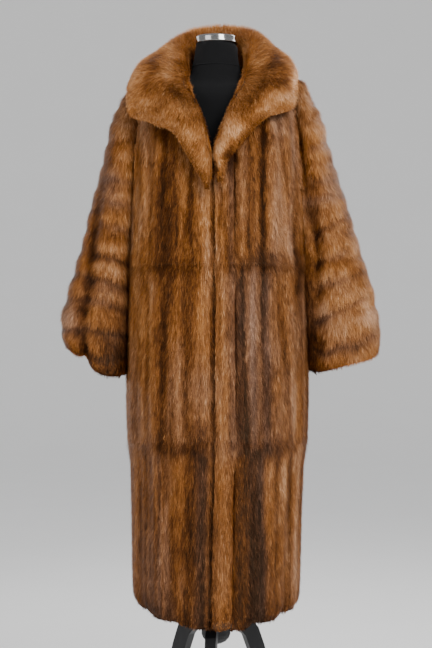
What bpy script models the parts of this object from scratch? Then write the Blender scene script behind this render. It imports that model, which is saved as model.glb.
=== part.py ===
"""Full-length fur coat on a limbless dress form with a three-legged stand.

Metres, +Z up. The coat's front faces -Y and the stand's feet rest on z = 0. A bearing is an angle
round the coat in degrees, counted from the front closing towards the wearer's left (+X): the side
seams lie at 90 and 270, the middle of the back at 180. Every cloth piece is a wall that is as
thick as its leather and pile together, and neighbours stand a seam's gap apart.
"""

import math
from collections import namedtuple

import bmesh
import bpy
from mathutils import Vector

# ---------------------------------------------------------------- driving sizes
FORM_X = -0.012                 # the form's axis, so that the whole part is centred on the origin
FORM_Y = 0.050
SEAM_GAP = 0.0004               # between neighbouring pieces
ARMHOLE_GAP = 0.0010            # between a sleeve and the armhole it is set into
FUR_WALL = 0.016                # leather and pile of the fronts and the back
SLEEVE_WALL = 0.014
STEP = 0.02                     # reach of the difference that gives a surface's direction

CLOSING_ANGLE = 267.5           # where the left front's edge lies, from +X, in degrees
SQUARENESS = 2.25               # exponent of the coat's outline in plan; 2 is an ellipse
SKINS = 24                      # upright skins round the coat
SKIN_WIDTH = 360.0 / SKINS
SKIN_CREST = (0.27, 0.73)       # a skin's flat stretch between two creases
CREASE = 0.006                  # how deep the creases between skins are
SINK_LIMIT = 0.6                # the most of a wall's thickness that creases and edges take

HEM = 0.352
LOWER_SEAM = 0.7155             # level seam between the lower and the middle tier
UPPER_SEAM = 1.112              # level seam between the middle and the upper tier
SEAM_RISE = 0.013               # how much higher the lower seam lies in front
TIER_TUCK = 0.005               # a tier's top reaches this far up under the tier above

V_POINT = 1.295                 # foot of the front opening
V_SLOPE_LEFT = 2.4              # height gained along its edges for each metre to the side
V_SLOPE_RIGHT = 2.9
UNDERLAP = 10.6                 # width of the right front's edge under the left front, in degrees
LAP_THICKNESS = 0.0076          # the left front's layer there
LAP_STEP = 0.2                  # width of the step down to the right front's layer, in degrees
LAP_DEPTH = 0.0096              # how far the right front's layer lies behind the smooth outline

CAP_RADIUS = 0.0455
CAP_BOTTOM = 1.610
CAP_HEIGHT = 0.016
NECK_TOP = CAP_BOTTOM - SEAM_GAP

POLE_RADIUS = 0.0125
HUB_RADIUS = 0.0325
HUB_BOTTOM = 0.262
HUB_TOP = 0.366
LEG_THICKNESS = 0.024
LEG_WIDTH = 0.038
LEG_ANGLES = (263.0, 23.0, 143.0)
GLIDE_RADIUS = 0.014
GLIDE_HEIGHT = 0.012

# The coat's smooth outline: a level ring for each row, its reach to either side of mid_x and its
# depth before and behind the form's axis.
BodyRow = namedtuple("BodyRow", "height mid_x half_width front back")
BODY = (
    BodyRow(0.330, 0.000, 0.189, 0.185, 0.172),
    BodyRow(0.450, 0.001, 0.192, 0.186, 0.174),
    BodyRow(0.640, 0.002, 0.195, 0.186, 0.176),
    BodyRow(0.700, 0.004, 0.200, 0.188, 0.178),
    BodyRow(0.760, 0.004, 0.206, 0.189, 0.179),
    BodyRow(0.900, 0.004, 0.206, 0.184, 0.175),
    BodyRow(1.060, 0.004, 0.203, 0.175, 0.166),
    BodyRow(1.200, 0.004, 0.200, 0.164, 0.152),
    BodyRow(1.320, 0.004, 0.199, 0.153, 0.140),
    BodyRow(1.400, 0.003, 0.197, 0.138, 0.128),
    BodyRow(1.455, 0.002, 0.188, 0.118, 0.115),
    BodyRow(1.490, 0.001, 0.163, 0.100, 0.104),
    BodyRow(1.516, 0.001, 0.124, 0.086, 0.093),
    BodyRow(1.538, 0.001, 0.086, 0.076, 0.082),
)

# Soft hollows that run down the coat: where, how wide, how deep at mid height and at the hem,
# and the height at which each one fades out.
Fold = namedtuple("Fold", "bearing half_width middle_depth hem_depth top")
FOLDS = (
    Fold(24.5, 7.0, 0.013, 0.010, 1.10),
    Fold(57.0, 8.0, 0.004, 0.010, 0.85),
    Fold(96.0, 9.0, 0.007, 0.009, 1.00),
    Fold(131.0, 8.0, 0.005, 0.011, 0.80),
    Fold(166.0, 9.0, 0.009, 0.012, 1.15),
    Fold(203.0, 8.0, 0.005, 0.010, 0.90),
    Fold(238.0, 9.0, 0.008, 0.011, 1.05),
    Fold(268.0, 8.0, 0.004, 0.009, 0.80),
    Fold(306.0, 7.0, 0.006, 0.006, 1.20),
    Fold(336.0, 7.0, 0.004, 0.010, 0.90),
)

# A tier's rounded lower edge: height above the edge, and how far the surface has drawn in.
EdgeRow = namedtuple("EdgeRow", "rise sink")
TIER_EDGE = (EdgeRow(0.000, 0.0080), EdgeRow(0.007, 0.0034), EdgeRow(0.026, 0.0004))
# Further rows of points up each tier, as shares of its height.
TIER_SHARES = (
    (0.30, 0.62, 0.90), (0.30, 0.62, 0.90), (0.22, 0.42, 0.58, 0.70, 0.80, 0.88, 0.945),
)
MIDDLE_SHARES = (0.62, 0.30)    # the one of them behind which the wall's inner side has a row

# A sleeve's rings: height, distances of its two sides from the form's axis, how much higher the
# outer side lies, and the ring's middle and half depth along Y.
SleeveRow = namedtuple("SleeveRow", "height inner outer rise mid_y half_depth")
RIGHT_SLEEVE = (
    SleeveRow(0.885, 0.197, 0.342, 0.066, -0.016, 0.072),
    SleeveRow(0.958, 0.198, 0.350, 0.056, -0.015, 0.073),
    SleeveRow(1.040, 0.197, 0.331, 0.042, -0.013, 0.072),
    SleeveRow(1.115, 0.193, 0.310, 0.030, -0.010, 0.072),
    SleeveRow(1.180, 0.190, 0.294, 0.020, -0.007, 0.073),
    SleeveRow(1.243, 0.178, 0.281, 0.014, -0.004, 0.074),
    SleeveRow(1.305, 0.165, 0.264, 0.010, -0.002, 0.075),
    SleeveRow(1.372, 0.160, 0.248, 0.005, 0.000, 0.073),
    SleeveRow(1.432, 0.156, 0.236, 0.002, 0.000, 0.066),
    SleeveRow(1.475, 0.163, 0.222, 0.000, 0.002, 0.050),
    SleeveRow(1.498, 0.172, 0.209, 0.000, 0.003, 0.028),
)
LEFT_SLEEVE = (
    SleeveRow(0.898, 0.196, 0.368, 0.060, -0.020, 0.074),
    SleeveRow(0.965, 0.193, 0.374, 0.050, -0.020, 0.076),
    SleeveRow(1.030, 0.190, 0.358, 0.040, -0.018, 0.076),
    SleeveRow(1.105, 0.187, 0.333, 0.028, -0.015, 0.076),
    SleeveRow(1.180, 0.188, 0.312, 0.020, -0.011, 0.077),
    SleeveRow(1.243, 0.178, 0.295, 0.014, -0.007, 0.077),
    SleeveRow(1.305, 0.165, 0.275, 0.010, -0.004, 0.076),
    SleeveRow(1.372, 0.160, 0.256, 0.005, -0.001, 0.073),
    SleeveRow(1.432, 0.156, 0.242, 0.002, 0.000, 0.066),
    SleeveRow(1.475, 0.163, 0.225, 0.000, 0.002, 0.050),
    SleeveRow(1.498, 0.172, 0.211, 0.000, 0.003, 0.028),
)
SLEEVE_COLUMNS = 26
SLEEVE_BANDS = (0.0, 0.93, 1.62, 2.45, 3.25, 4.05, 4.9, 5.7, 6.5, 7.3, 8.2, 9.2, 10.0)
BAND_CREST = (0.28, 0.72)
BAND_CREASE = 0.005
BODY_CLEARANCE = 0.0024         # between a sleeve and the side of the coat
UNDERARM = (1.150, 1.240)       # between these heights a sleeve turns in through the armhole

# The lengthwise fold of each sleeve: its bearing on the ring at the cuff and at the shoulder, and
# its depth at the cuff. Ring bearings run from the outer side (0) to the front (-90).
SleeveFold = namedtuple("SleeveFold", "cuff_angle shoulder_angle cuff_depth")
RIGHT_FOLD = SleeveFold(-72.0, -22.0, 0.017)
LEFT_FOLD = SleeveFold(-131.0, -86.0, 0.018)

# The collar's sections from one front edge round the back to the other: the bearing where the
# section starts on the neckline, then the roll line, the middle of the fall and its outer edge.
CollarRow = namedtuple("CollarRow", "bearing roll fall edge")
COLLAR = tuple(CollarRow(row[0], *(Vector(place) for place in row[1:])) for row in (
    (1.2, (0.0085, -0.176, 1.303), (0.010, -0.180, 1.292), (0.010, -0.177, 1.281)),
    (3.2, (0.0090, -0.176, 1.335), (0.016, -0.180, 1.324), (0.024, -0.175, 1.312)),
    (6.0, (0.0110, -0.171, 1.376), (0.030, -0.174, 1.367), (0.052, -0.166, 1.355)),
    (12.0, (0.0250, -0.143, 1.437), (0.053, -0.154, 1.422), (0.085, -0.146, 1.397)),
    (23.0, (0.0500, -0.102, 1.493), (0.108, -0.122, 1.468), (0.160, -0.112, 1.428)),
    (52.0, (0.0690, -0.045, 1.550), (0.141, -0.058, 1.534), (0.180, -0.084, 1.474)),
    (90.0, (0.0750, 0.028, 1.610), (0.143, 0.032, 1.590), (0.178, 0.025, 1.530)),
    (135.0, (0.0570, 0.082, 1.646), (0.108, 0.120, 1.600), (0.138, 0.128, 1.485)),
    (180.0, (0.0020, 0.100, 1.656), (0.002, 0.144, 1.600), (0.002, 0.148, 1.462)),
    (225.0, (-0.051, 0.082, 1.642), (-0.104, 0.120, 1.596), (-0.140, 0.128, 1.485)),
    (270.0, (-0.075, 0.028, 1.606), (-0.147, 0.032, 1.580), (-0.188, 0.022, 1.528)),
    (307.0, (-0.069, -0.045, 1.550), (-0.142, -0.060, 1.536), (-0.196, -0.086, 1.464)),
    (335.5, (-0.058, -0.098, 1.493), (-0.110, -0.124, 1.462), (-0.183, -0.108, 1.416)),
    (346.5, (-0.034, -0.143, 1.437), (-0.078, -0.156, 1.419), (-0.129, -0.140, 1.394)),
    (353.0, (-0.022, -0.171, 1.376), (-0.050, -0.173, 1.367), (-0.085, -0.160, 1.355)),
    (356.6, (-0.016, -0.176, 1.332), (-0.028, -0.180, 1.319), (-0.042, -0.174, 1.304)),
    (358.9, (-0.015, -0.177, 1.290), (-0.018, -0.181, 1.276), (-0.020, -0.178, 1.263)),
))
# The collar's seam, by the turn from the closing: how far it lies outside the middle of the body
# wall, and how far beyond the wall's edge. In front it lies on the wall, behind it stands on it.
SeamRow = namedtuple("SeamRow", "turn outward onward")
COLLAR_SEAM = (
    SeamRow(0.0, 0.0145, -0.010), SeamRow(14.0, 0.0145, -0.010), SeamRow(23.0, 0.0145, 0.007),
    SeamRow(32.0, 0.0100, 0.0075), SeamRow(46.0, 0.0, 0.0009), SeamRow(180.0, 0.0, 0.0009),
)
FRONT_THINNER = 0.25            # share of the collar's thickness that its front ends lack
COLLAR_STATIONS = 34
COLLAR_STEPS = (0.0, 0.5, 1.0, 1.35, 1.7, 2.0, 2.25, 2.55, 2.85, 3.15, 3.5, 3.8, 4.0)
COLLAR_RISE = 0.009             # the stretch beyond the seam that carries straight on
CollarThickness = namedtuple("CollarThickness", "seam stand roll fall edge")
COLLAR_THICKNESS = CollarThickness(0.010, 0.012, 0.015, 0.018, 0.008)

# The form's body below the shoulders and its neck above them.
FormRow = namedtuple("FormRow", "height half_width front back")
FORM_LOWER = (
    FormRow(0.780, 0.146, 0.100, 0.108),
    FormRow(0.800, 0.158, 0.110, 0.118),
    FormRow(0.870, 0.164, 0.116, 0.124),
    FormRow(0.960, 0.156, 0.110, 0.116),
    FormRow(1.060, 0.127, 0.096, 0.094),
    FormRow(1.160, 0.128, 0.100, 0.094),
    FormRow(1.260, 0.146, 0.114, 0.104),
    FormRow(1.350, 0.150, 0.106, 0.100),
    FormRow(1.420, 0.148, 0.088, 0.088),
)
# Rings that run parallel to the inside of the coat: body station and clearance.
ShoulderRing = namedtuple("ShoulderRing", "station clearance")
SHOULDERS = (
    ShoulderRing(10.85, 0.0050),
    ShoulderRing(11.25, 0.0016),
    ShoulderRing(11.65, 0.0008),
    ShoulderRing(12.05, 0.0030),
)
FORM_NECK = (
    FormRow(1.524, 0.066, 0.058, 0.060),
    FormRow(1.557, 0.0545, 0.0535, 0.0545),
    FormRow(1.585, 0.0475, 0.0475, 0.0475),
    FormRow(NECK_TOP, 0.0440, 0.0440, 0.0440),
)

# The middle line of a leg's board: distance from the pole and height.
LegPoint = namedtuple("LegPoint", "reach height")
LEG_LINE = (
    LegPoint(0.034, 0.318), LegPoint(0.060, 0.311), LegPoint(0.084, 0.284), LegPoint(0.098, 0.246),
    LegPoint(0.112, 0.196), LegPoint(0.134, 0.142), LegPoint(0.166, 0.088), LegPoint(0.208, 0.048),
    LegPoint(0.246, 0.0265), LegPoint(0.276, 0.0235),
)
FOOT_REACH = 0.262


# ---------------------------------------------------------------- scene helpers
def clear_scene():
    """Remove every object of the open scene."""
    for item in list(bpy.data.objects):
        bpy.data.objects.remove(item, do_unlink=True)


def new_collection(name):
    """Return a new collection linked to the scene."""
    collection = bpy.data.collections.new(name)
    bpy.context.scene.collection.children.link(collection)
    return collection


def finish_material(name, colour, roughness, metallic=0.0):
    """Return a Principled BSDF material."""
    material = bpy.data.materials.new(name)
    material.use_nodes = True
    shader = material.node_tree.nodes["Principled BSDF"]
    shader.inputs["Base Color"].default_value = (*colour, 1.0)
    shader.inputs["Roughness"].default_value = roughness
    shader.inputs["Metallic"].default_value = metallic
    return material


def add_object(name, mesh, collection, material=None, parent=None):
    """Put a mesh into the collection as a named object."""
    item = bpy.data.objects.new(name, mesh)
    collection.objects.link(item)
    item.parent = parent
    if material:
        mesh.materials.append(material)
    return item


def smooth(mesh, limit=40.0):
    """Shade a mesh smooth but for its sharp edges."""
    mesh.shade_smooth()
    mesh.set_sharp_from_angle(angle=math.radians(limit))


# ---------------------------------------------------------------- curves and tables
def between(p0, p1, p2, p3, t):
    """Return the value a share t of the way from p1 to p2, on a curve through all four."""
    return 0.5 * (
        2 * p1 + (p2 - p0) * t + (2 * p0 - 5 * p1 + 4 * p2 - p3) * t * t
        + (3 * p1 - p0 - 3 * p2 + p3) * t * t * t
    )


def blend(table, station, field):
    """Read one column of a table between its rows."""
    last = len(table) - 1
    station = min(max(station, 0.0), float(last))
    row = min(int(station), last - 1)
    near = (getattr(table[min(max(k, 0), last)], field) for k in range(row - 1, row + 3))
    return between(*near, station - row)


def station_at(table, height):
    """Return the station of a table at which its height column reaches a height."""
    low, high = 0.0, float(len(table) - 1)
    for _ in range(30):
        middle = (low + high) / 2
        if blend(table, middle, "height") < height:
            low = middle
        else:
            high = middle
    return (low + high) / 2


def bump(distance, half_width):
    """Return 1 at no distance, falling smoothly to 0 past the half width."""
    return math.exp(-((distance / half_width) ** 2))


def turn_between(first, second):
    """Return the smallest angle between two bearings, in degrees."""
    return (first - second + 180.0) % 360.0 - 180.0


def smoothstep(value, low, high):
    """Return 0 below low, 1 above high and a soft ramp between."""
    t = min(max((value - low) / (high - low), 0.0), 1.0)
    return t * t * (3 - 2 * t)


def ellipse_part(value):
    """Return a cosine or sine pulled towards the corners of the outline."""
    return math.copysign(abs(value) ** (2.0 / SQUARENESS), value)


def face_direction(surface, u, v, du=1.0, dv=STEP):
    """Return the outward direction of a surface(u, v) whose u runs round and v runs up."""
    along = surface(u + du, v) - surface(u - du, v)
    up = surface(u, v + dv) - surface(u, v - dv)
    return along.cross(up).normalized()


# ---------------------------------------------------------------- walls
def close_rim(work, run, near, far):
    """Close the strip between a run of outer points and the two inner points behind its ends."""
    middle = len(run) // 2
    for j in range(len(run) - 1):
        work.faces.new((run[j], run[j + 1], near if j < middle else far))
    work.faces.new((near, run[middle], far))


def wall_mesh(name, outer, inner, rows, columns, around=False, tops=None):
    """Make a closed wall from an outer grid of points and a coarser plain inner grid.

    rows and columns are the indices of the outer grid behind which the inner points lie. around
    joins the last column to the first. tops holds the outer and inner points that close the upper
    end, where it is closed.
    """
    mesh = bpy.data.meshes.new(name)
    work = bmesh.new()
    out = [[work.verts.new(point) for point in row] for row in outer]
    ins = {}
    for i, row in zip(rows, inner):
        for j, point in zip(columns, row):
            ins[i, j] = work.verts.new(point)
    width = len(out[0])
    spans = list(zip(columns, columns[1:]))
    if around:
        spans.append((columns[-1], width + columns[0]))
    steps = width if around else width - 1
    for i in range(len(out) - 1):
        for j in range(steps):
            k = (j + 1) % width
            work.faces.new((out[i][j], out[i][k], out[i + 1][k], out[i + 1][j]))
    for low, high in zip(rows, rows[1:]):
        for left, right in spans:
            k = right % width
            work.faces.new((ins[low, left], ins[high, left], ins[high, k], ins[low, k]))
    last = rows[-1] if tops else len(out) - 1
    for left, right in spans:
        k = right % width
        run = [j % width for j in range(left, right + 1)]
        close_rim(work, [out[0][j] for j in run], ins[0, left], ins[0, k])
        if tops is None:
            close_rim(work, [out[last][j] for j in run], ins[last, left], ins[last, k])
    if tops is not None:
        tip, hollow = (work.verts.new(point) for point in tops)
        for j in range(width):
            work.faces.new((out[-1][j], out[-1][(j + 1) % width], tip))
        for left, right in spans:
            work.faces.new((ins[last, right % width], ins[last, left], hollow))
    if not around:
        for low, high in zip(rows, rows[1:]):
            for end in (columns[0], columns[-1]):
                run = [out[i][end] for i in range(low, high + 1)]
                close_rim(work, run, ins[low, end], ins[high, end])
    bmesh.ops.recalc_face_normals(work, faces=work.faces)
    work.to_mesh(mesh)
    work.free()
    return mesh


def solid_mesh(name, rings, tip=None):
    """Make a closed solid from rings of points, its ends closed by fans of triangles."""
    mesh = bpy.data.meshes.new(name)
    work = bmesh.new()
    verts = [[work.verts.new(point) for point in ring] for ring in rings]
    count = len(verts[0])
    for low, high in zip(verts, verts[1:]):
        for j in range(count):
            k = (j + 1) % count
            work.faces.new((low[j], low[k], high[k], high[j]))
    foot = sum((Vector(point) for point in rings[0]), Vector()) / count
    head = sum((Vector(point) for point in rings[-1]), Vector()) / count
    centres = ((verts[0], foot, True), (verts[-1], tip or head, False))
    for ring, centre, below in centres:
        middle = work.verts.new(centre)
        for j in range(count):
            pair = (ring[(j + 1) % count], ring[j]) if below else (ring[j], ring[(j + 1) % count])
            work.faces.new((*pair, middle))
    bmesh.ops.recalc_face_normals(work, faces=work.faces)
    work.to_mesh(mesh)
    work.free()
    return mesh


def cut_away(item, cutter):
    """Take a cutter's volume out of an object."""
    modifier = item.modifiers.new(f"clear_{cutter.name}", "BOOLEAN")
    modifier.operation = "DIFFERENCE"
    modifier.solver = "EXACT"
    modifier.object = cutter


def make_cutter(name, rings, collection, tip=None, parent=None):
    """Add a hidden solid that pieces are cut with."""
    cutter = add_object(name, solid_mesh(name, rings, tip), collection, parent=parent)
    cutter.hide_render = True
    cutter.display_type = "WIRE"
    return cutter


# ---------------------------------------------------------------- the coat's body
def body_surface(bearing, station):
    """Return a point of the coat's smooth outline."""
    angle = math.radians(CLOSING_ANGLE + bearing)
    side, depth = math.cos(angle), math.sin(angle)
    reach = blend(BODY, station, "front" if depth < 0 else "back")
    return Vector((
        blend(BODY, station, "mid_x") + blend(BODY, station, "half_width") * ellipse_part(side),
        reach * ellipse_part(depth),
        blend(BODY, station, "height"),
    ))


def frontness(bearing):
    """Return 1 at the middle of the front, 0 at the sides and the back."""
    return max(0.0, math.cos(math.radians(bearing)))


def hem_height(bearing):
    """Return the hem's height: lower in front, lobed between the folds."""
    lobe = 0.013 * bump(turn_between(bearing, 12.0), 11.0)
    notches = sum(0.006 * bump(turn_between(bearing, fold.bearing), 6.0) for fold in FOLDS)
    return HEM - 0.011 * frontness(bearing) - lobe + notches


def tier_bottom(tier, bearing):
    """Return the height of a tier's lower edge."""
    if tier == 0:
        return hem_height(bearing)
    if tier == 1:
        return LOWER_SEAM + SEAM_RISE * frontness(bearing)
    return UPPER_SEAM


def neckline_station(bearing):
    """Return the station at which a column ends: on the neck ring, or on the front opening."""
    top = float(len(BODY) - 1)
    turn = turn_between(bearing, 0.0)
    if abs(turn) > 75.0:
        return top

    def above(station):
        point = body_surface(bearing, station)
        aside = abs(point.x - body_surface(0.0, station).x)
        return point.z - (V_POINT + (V_SLOPE_LEFT if turn > 0 else V_SLOPE_RIGHT) * aside)

    if above(top) < 0:
        return top
    low, high = station_at(BODY, V_POINT - 0.01), top
    for _ in range(30):
        middle = (low + high) / 2
        if above(middle) < 0:
            low = middle
        else:
            high = middle
    return low


def fold_depth(bearing, height):
    """Return how far the lengthwise folds draw the surface in."""
    total = 0.0
    for fold in FOLDS:
        low = smoothstep(height, HEM, LOWER_SEAM + 0.10)
        depth = fold.hem_depth + (fold.middle_depth - fold.hem_depth) * low
        fade = 1.0 - smoothstep(height, fold.top - 0.22, fold.top)
        total += depth * fade * bump(turn_between(bearing, fold.bearing), fold.half_width)
    return total


def tier_rows():
    """Return the outer rows from the hem up: tier, rise above its edge or share of it, and sink."""
    rows = []
    for tier in range(3):
        rows += [(tier, edge.rise, None, edge.sink) for edge in TIER_EDGE]
        rows += [(tier, None, share, 0.0) for share in TIER_SHARES[tier]]
        rows.append((tier, None, 1.0, 0.009 if tier < 2 else 0.0))
    return rows


def plain_rows(rows):
    """Return the indices of the outer rows that have an inner one behind them.

    They are each tier's edge and a row half way up it, and every row of the shoulders.
    """
    found = []
    for index, (tier, rise, share, _) in enumerate(rows):
        shoulder = tier == 2 and (share or 0.0) > 0.2
        half_way = tier < 2 and share == MIDDLE_SHARES[tier]
        if rise == 0.0 or shoulder or half_way:
            found.append(index)
    return found


def row_station(row, column):
    """Return a row's station on a column."""
    tier, rise, share, _ = row
    bearing = column.bearing
    low = tier_bottom(tier, bearing)
    if share is None:
        return station_at(BODY, low + rise)
    if tier == 2:
        start = station_at(BODY, low)
        end = station_at(BODY, V_POINT) if column.stops_low else neckline_station(bearing)
        return start + (end - start) * share
    high = tier_bottom(tier + 1, bearing) + (TIER_TUCK if share == 1.0 else 0.0)
    return station_at(BODY, low + (high - low) * share)


def crease_sink(bearing):
    """Return how deep the surface lies at a bearing: full at a crease, none on a skin's crest."""
    share = (bearing / SKIN_WIDTH) % 1.0
    aside = min(share, 1.0 - share) / SKIN_CREST[0]
    return CREASE * max(0.0, 1.0 - aside)


def body_point(bearing, station, depth):
    """Return a point the given depth behind the smooth outline."""
    base = body_surface(bearing, station)
    return base - face_direction(body_surface, bearing, station) * depth


Column = namedtuple("Column", "bearing sink wall_start stops_low", defaults=(False,))


def panel_columns(start, end):
    """Return a panel's columns: the creases and crests of its skins between two side edges."""
    columns = []
    first, last = round(start / SKIN_WIDTH), round(end / SKIN_WIDTH)
    for skin in range(first, last):
        for share in (0.0, *SKIN_CREST):
            columns.append(Column((skin + share) * SKIN_WIDTH, 0.0, FUR_WALL))
    columns.append(Column(last * SKIN_WIDTH, 0.0, FUR_WALL))
    edge = math.degrees(SEAM_GAP / 2 / BODY[5].half_width)
    columns[0] = Column(start + edge, 0.0, FUR_WALL)
    columns[-1] = Column(end - edge, 0.0, FUR_WALL)
    return columns


def body_panel(name, columns, plain):
    """Make one panel of the coat's body.

    columns are its outer columns and plain the indices of those that have an inner point. A
    column's sink lowers its outer side, and its wall_start is the depth of its inner side.
    """
    rows = tier_rows()
    inner_rows = plain_rows(rows)
    outer = []
    inner = []
    for index, row in enumerate(rows):
        line = []
        for column in columns:
            station = row_station(row, column)
            height = blend(BODY, station, "height")
            sink = min(row[3] + crease_sink(column.bearing), column.wall_start * SINK_LIMIT)
            sink = max(column.sink, sink)
            fold = fold_depth(column.bearing, height)
            line.append(body_point(column.bearing, station, sink + fold))
        outer.append(line)
        if index in inner_rows:
            behind = []
            for j in plain:
                column = columns[j]
                station = row_station(row, column)
                height = blend(BODY, station, "height")
                fold = fold_depth(column.bearing, height)
                behind.append(body_point(column.bearing, station, column.wall_start + fold))
            inner.append(behind)
    mesh = wall_mesh(name, outer, inner, inner_rows, plain)
    smooth(mesh, 50.0)
    return mesh


def crease_indices(columns):
    """Return the indices of the columns that lie on creases or on a panel's ends."""
    found = []
    for index, column in enumerate(columns):
        share = (column.bearing / SKIN_WIDTH) % 1.0
        if min(share, 1.0 - share) < 0.02:
            found.append(index)
    return found


def left_front_mesh():
    """Make the left front, whose edge lies over the right front's."""
    columns = panel_columns(0.0, 90.0)
    lap_end = Column(UNDERLAP + 0.35, 0.0, LAP_THICKNESS)
    lap_step = Column(UNDERLAP + 1.0, 0.0, FUR_WALL)
    for index in (0, 1):
        columns[index] = columns[index]._replace(wall_start=LAP_THICKNESS)
    columns[2:3] = [lap_end, lap_step]
    return body_panel("front_left", columns, sorted({1, 2, 3, *crease_indices(columns)}))


def right_front_mesh():
    """Make the right front, with its edge lowered to pass under the left front."""
    columns = panel_columns(270.0, 360.0)
    edge = columns[-1].bearing
    columns[-1] = columns[-1]._replace(bearing=edge - LAP_STEP)
    for bearing in (edge, edge + UNDERLAP / 2, 360.0 + UNDERLAP):
        columns.append(Column(bearing, LAP_DEPTH, FUR_WALL, stops_low=True))
    plain = crease_indices(columns)
    return body_panel("front_right", columns, sorted({*plain, len(columns) - 1}))


def lining_rings():
    """Return closed rings on the inner side of the body wall, up to the neck."""
    rings = []
    count = len(BODY) - 1
    for index in range(count * 2 + 1):
        station = index / 2
        rings.append([body_point(k * SKIN_WIDTH, station, FUR_WALL) for k in range(SKINS)])
    return rings


# ---------------------------------------------------------------- the sleeves
class Sleeve:
    """One sleeve: a closed-topped tube that hangs beside the coat, open at cuff and armhole."""

    def __init__(self, name, side, rows, fold):
        self.name = name
        self.side = side
        self.rows = rows
        self.fold = fold
        self.top = float(len(rows) - 1)

    def fold_angle(self, station):
        """Return the bearing of the lengthwise fold on the ring."""
        share = station / self.top
        return self.fold.cuff_angle + (self.fold.shoulder_angle - self.fold.cuff_angle) * share

    def free_surface(self, turn, station):
        """Return a point of the smooth sleeve, turn degrees round from its lengthwise fold."""
        angle = math.radians(self.fold_angle(station) + turn)
        read = {field: blend(self.rows, station, field) for field in SleeveRow._fields}
        half = (read["outer"] - read["inner"]) / 2
        depth = self.fold.cuff_depth * (1.0 - smoothstep(station, 3.0, 7.5))
        pull = 1.0 - depth / half * bump(turn_between(turn, 0.0), 15.0)
        across = math.cos(angle) * pull
        return Vector((
            self.side * ((read["inner"] + read["outer"]) / 2 + half * across),
            read["mid_y"] + read["half_depth"] * math.sin(angle) * pull,
            read["height"] + read["rise"] / 2 * across,
        ))

    def pushed_clear(self, point):
        """Move a point that would lie within the coat's body out to its side."""
        weight = 1.0 - smoothstep(point.z, *UNDERARM)
        if weight <= 0.0:
            return point
        station = station_at(BODY, point.z)
        mid = blend(BODY, station, "mid_x")
        wide = blend(BODY, station, "half_width")
        deep = blend(BODY, station, "front" if point.y < 0 else "back")
        reach = (
            (abs(point.x - mid) / wide) ** SQUARENESS + (abs(point.y) / deep) ** SQUARENESS
        ) ** (1.0 / SQUARENESS)
        wanted = 1.0 + BODY_CLEARANCE / deep
        scale = 1.0 + (max(wanted / reach, 1.0) - 1.0) * weight
        return Vector((mid + (point.x - mid) * scale, point.y * scale, point.z))

    def outward(self, turn, station):
        """Return the direction out of the sleeve."""
        station = min(max(station, STEP), self.top - STEP)
        return face_direction(self.free_surface, turn, station, du=2.0) * self.side

    def stations(self):
        """Return the rows of the outer grid: station and how far its surface has sunk."""
        rows = [(0.0, 0.006), (0.10, 0.001)]
        for low, high in zip(SLEEVE_BANDS, SLEEVE_BANDS[1:]):
            if low > 0:
                rows.append((low, BAND_CREASE))
            crests = (0.72,) if low == 0 else BAND_CREST
            rows += [(low + (high - low) * share, 0.0) for share in crests]
        rows.append((self.top, 0.0))
        return rows

    def ring(self, station, depth, count=SLEEVE_COLUMNS):
        """Return a closed ring the given depth behind the smooth sleeve."""
        turns = [360.0 * k / count for k in range(count)]
        return [
            self.pushed_clear(self.free_surface(turn, station))
            - self.outward(turn, station) * depth
            for turn in turns
        ]

    def tip(self, depth):
        """Return the middle of the sleeve head, the given depth below its top."""
        row = self.rows[-1]
        return Vector((self.side * (row.inner + row.outer) / 2, row.mid_y, row.height + 0.008 - depth))

    def mesh(self):
        """Make the sleeve as a closed wall whose head is closed inside and out."""
        rows = self.stations()
        outer = [self.ring(station, sink) for station, sink in rows]
        inner_rows = list(range(0, len(rows) - 4, 3)) + [len(rows) - 4]
        columns = list(range(0, SLEEVE_COLUMNS, 2))
        inner = []
        for index in inner_rows:
            ring = self.ring(rows[index][0], SLEEVE_WALL)
            inner.append([ring[j] for j in columns])
        tops = (self.tip(0.0), self.tip(SLEEVE_WALL))
        mesh = wall_mesh(self.name, outer, inner, inner_rows, columns, around=True, tops=tops)
        smooth(mesh, 50.0)
        return mesh

    def grown_rings(self):
        """Return rings of the sleeve's outside, a seam's gap wider, without its creases."""
        return [self.ring(station, -ARMHOLE_GAP) for station, _ in self.stations()]


# ---------------------------------------------------------------- the collar
def neckline(bearing):
    """Return the middle of the body wall's upper edge and the wall's outward direction there."""
    station = neckline_station(bearing % 360.0)
    outward = face_direction(body_surface, bearing % 360.0, station - STEP)
    return body_surface(bearing % 360.0, station) - outward * FUR_WALL / 2, outward


def collar_seam(bearing):
    """Return where a collar section starts, the way on from the body wall, and the way out."""
    here, outward = neckline(bearing)
    before, _ = neckline(bearing - 1.5)
    after, _ = neckline(bearing + 1.5)
    along = (after - before).normalized()
    off = outward.cross(along).normalized()
    if off.z < 0:
        off = -off
    turn = abs(turn_between(bearing, 0.0))
    low, high = next(
        pair for pair in zip(COLLAR_SEAM, COLLAR_SEAM[1:]) if turn <= pair[1].turn
    )
    share = (turn - low.turn) / (high.turn - low.turn)
    out = low.outward + (high.outward - low.outward) * share
    on = low.onward + (high.onward - low.onward) * share
    return here + outward * out + off * on, off, outward


def curve_point(points, t):
    """Return a point of the curve through a few points, t counting them from 0."""
    last = len(points) - 1
    k = min(int(t), last - 1)
    t -= k
    p1, p2 = points[k], points[k + 1]
    p0 = points[k - 1] if k > 0 else p1 * 2 - p2
    p3 = points[k + 2] if k + 2 <= last else p2 * 2 - p1
    return between(p0, p1, p2, p3, t)


def collar_thickness(step):
    """Return the collar's thickness along a section."""
    marks = COLLAR_THICKNESS
    return curve_point(list(marks), step)


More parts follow.
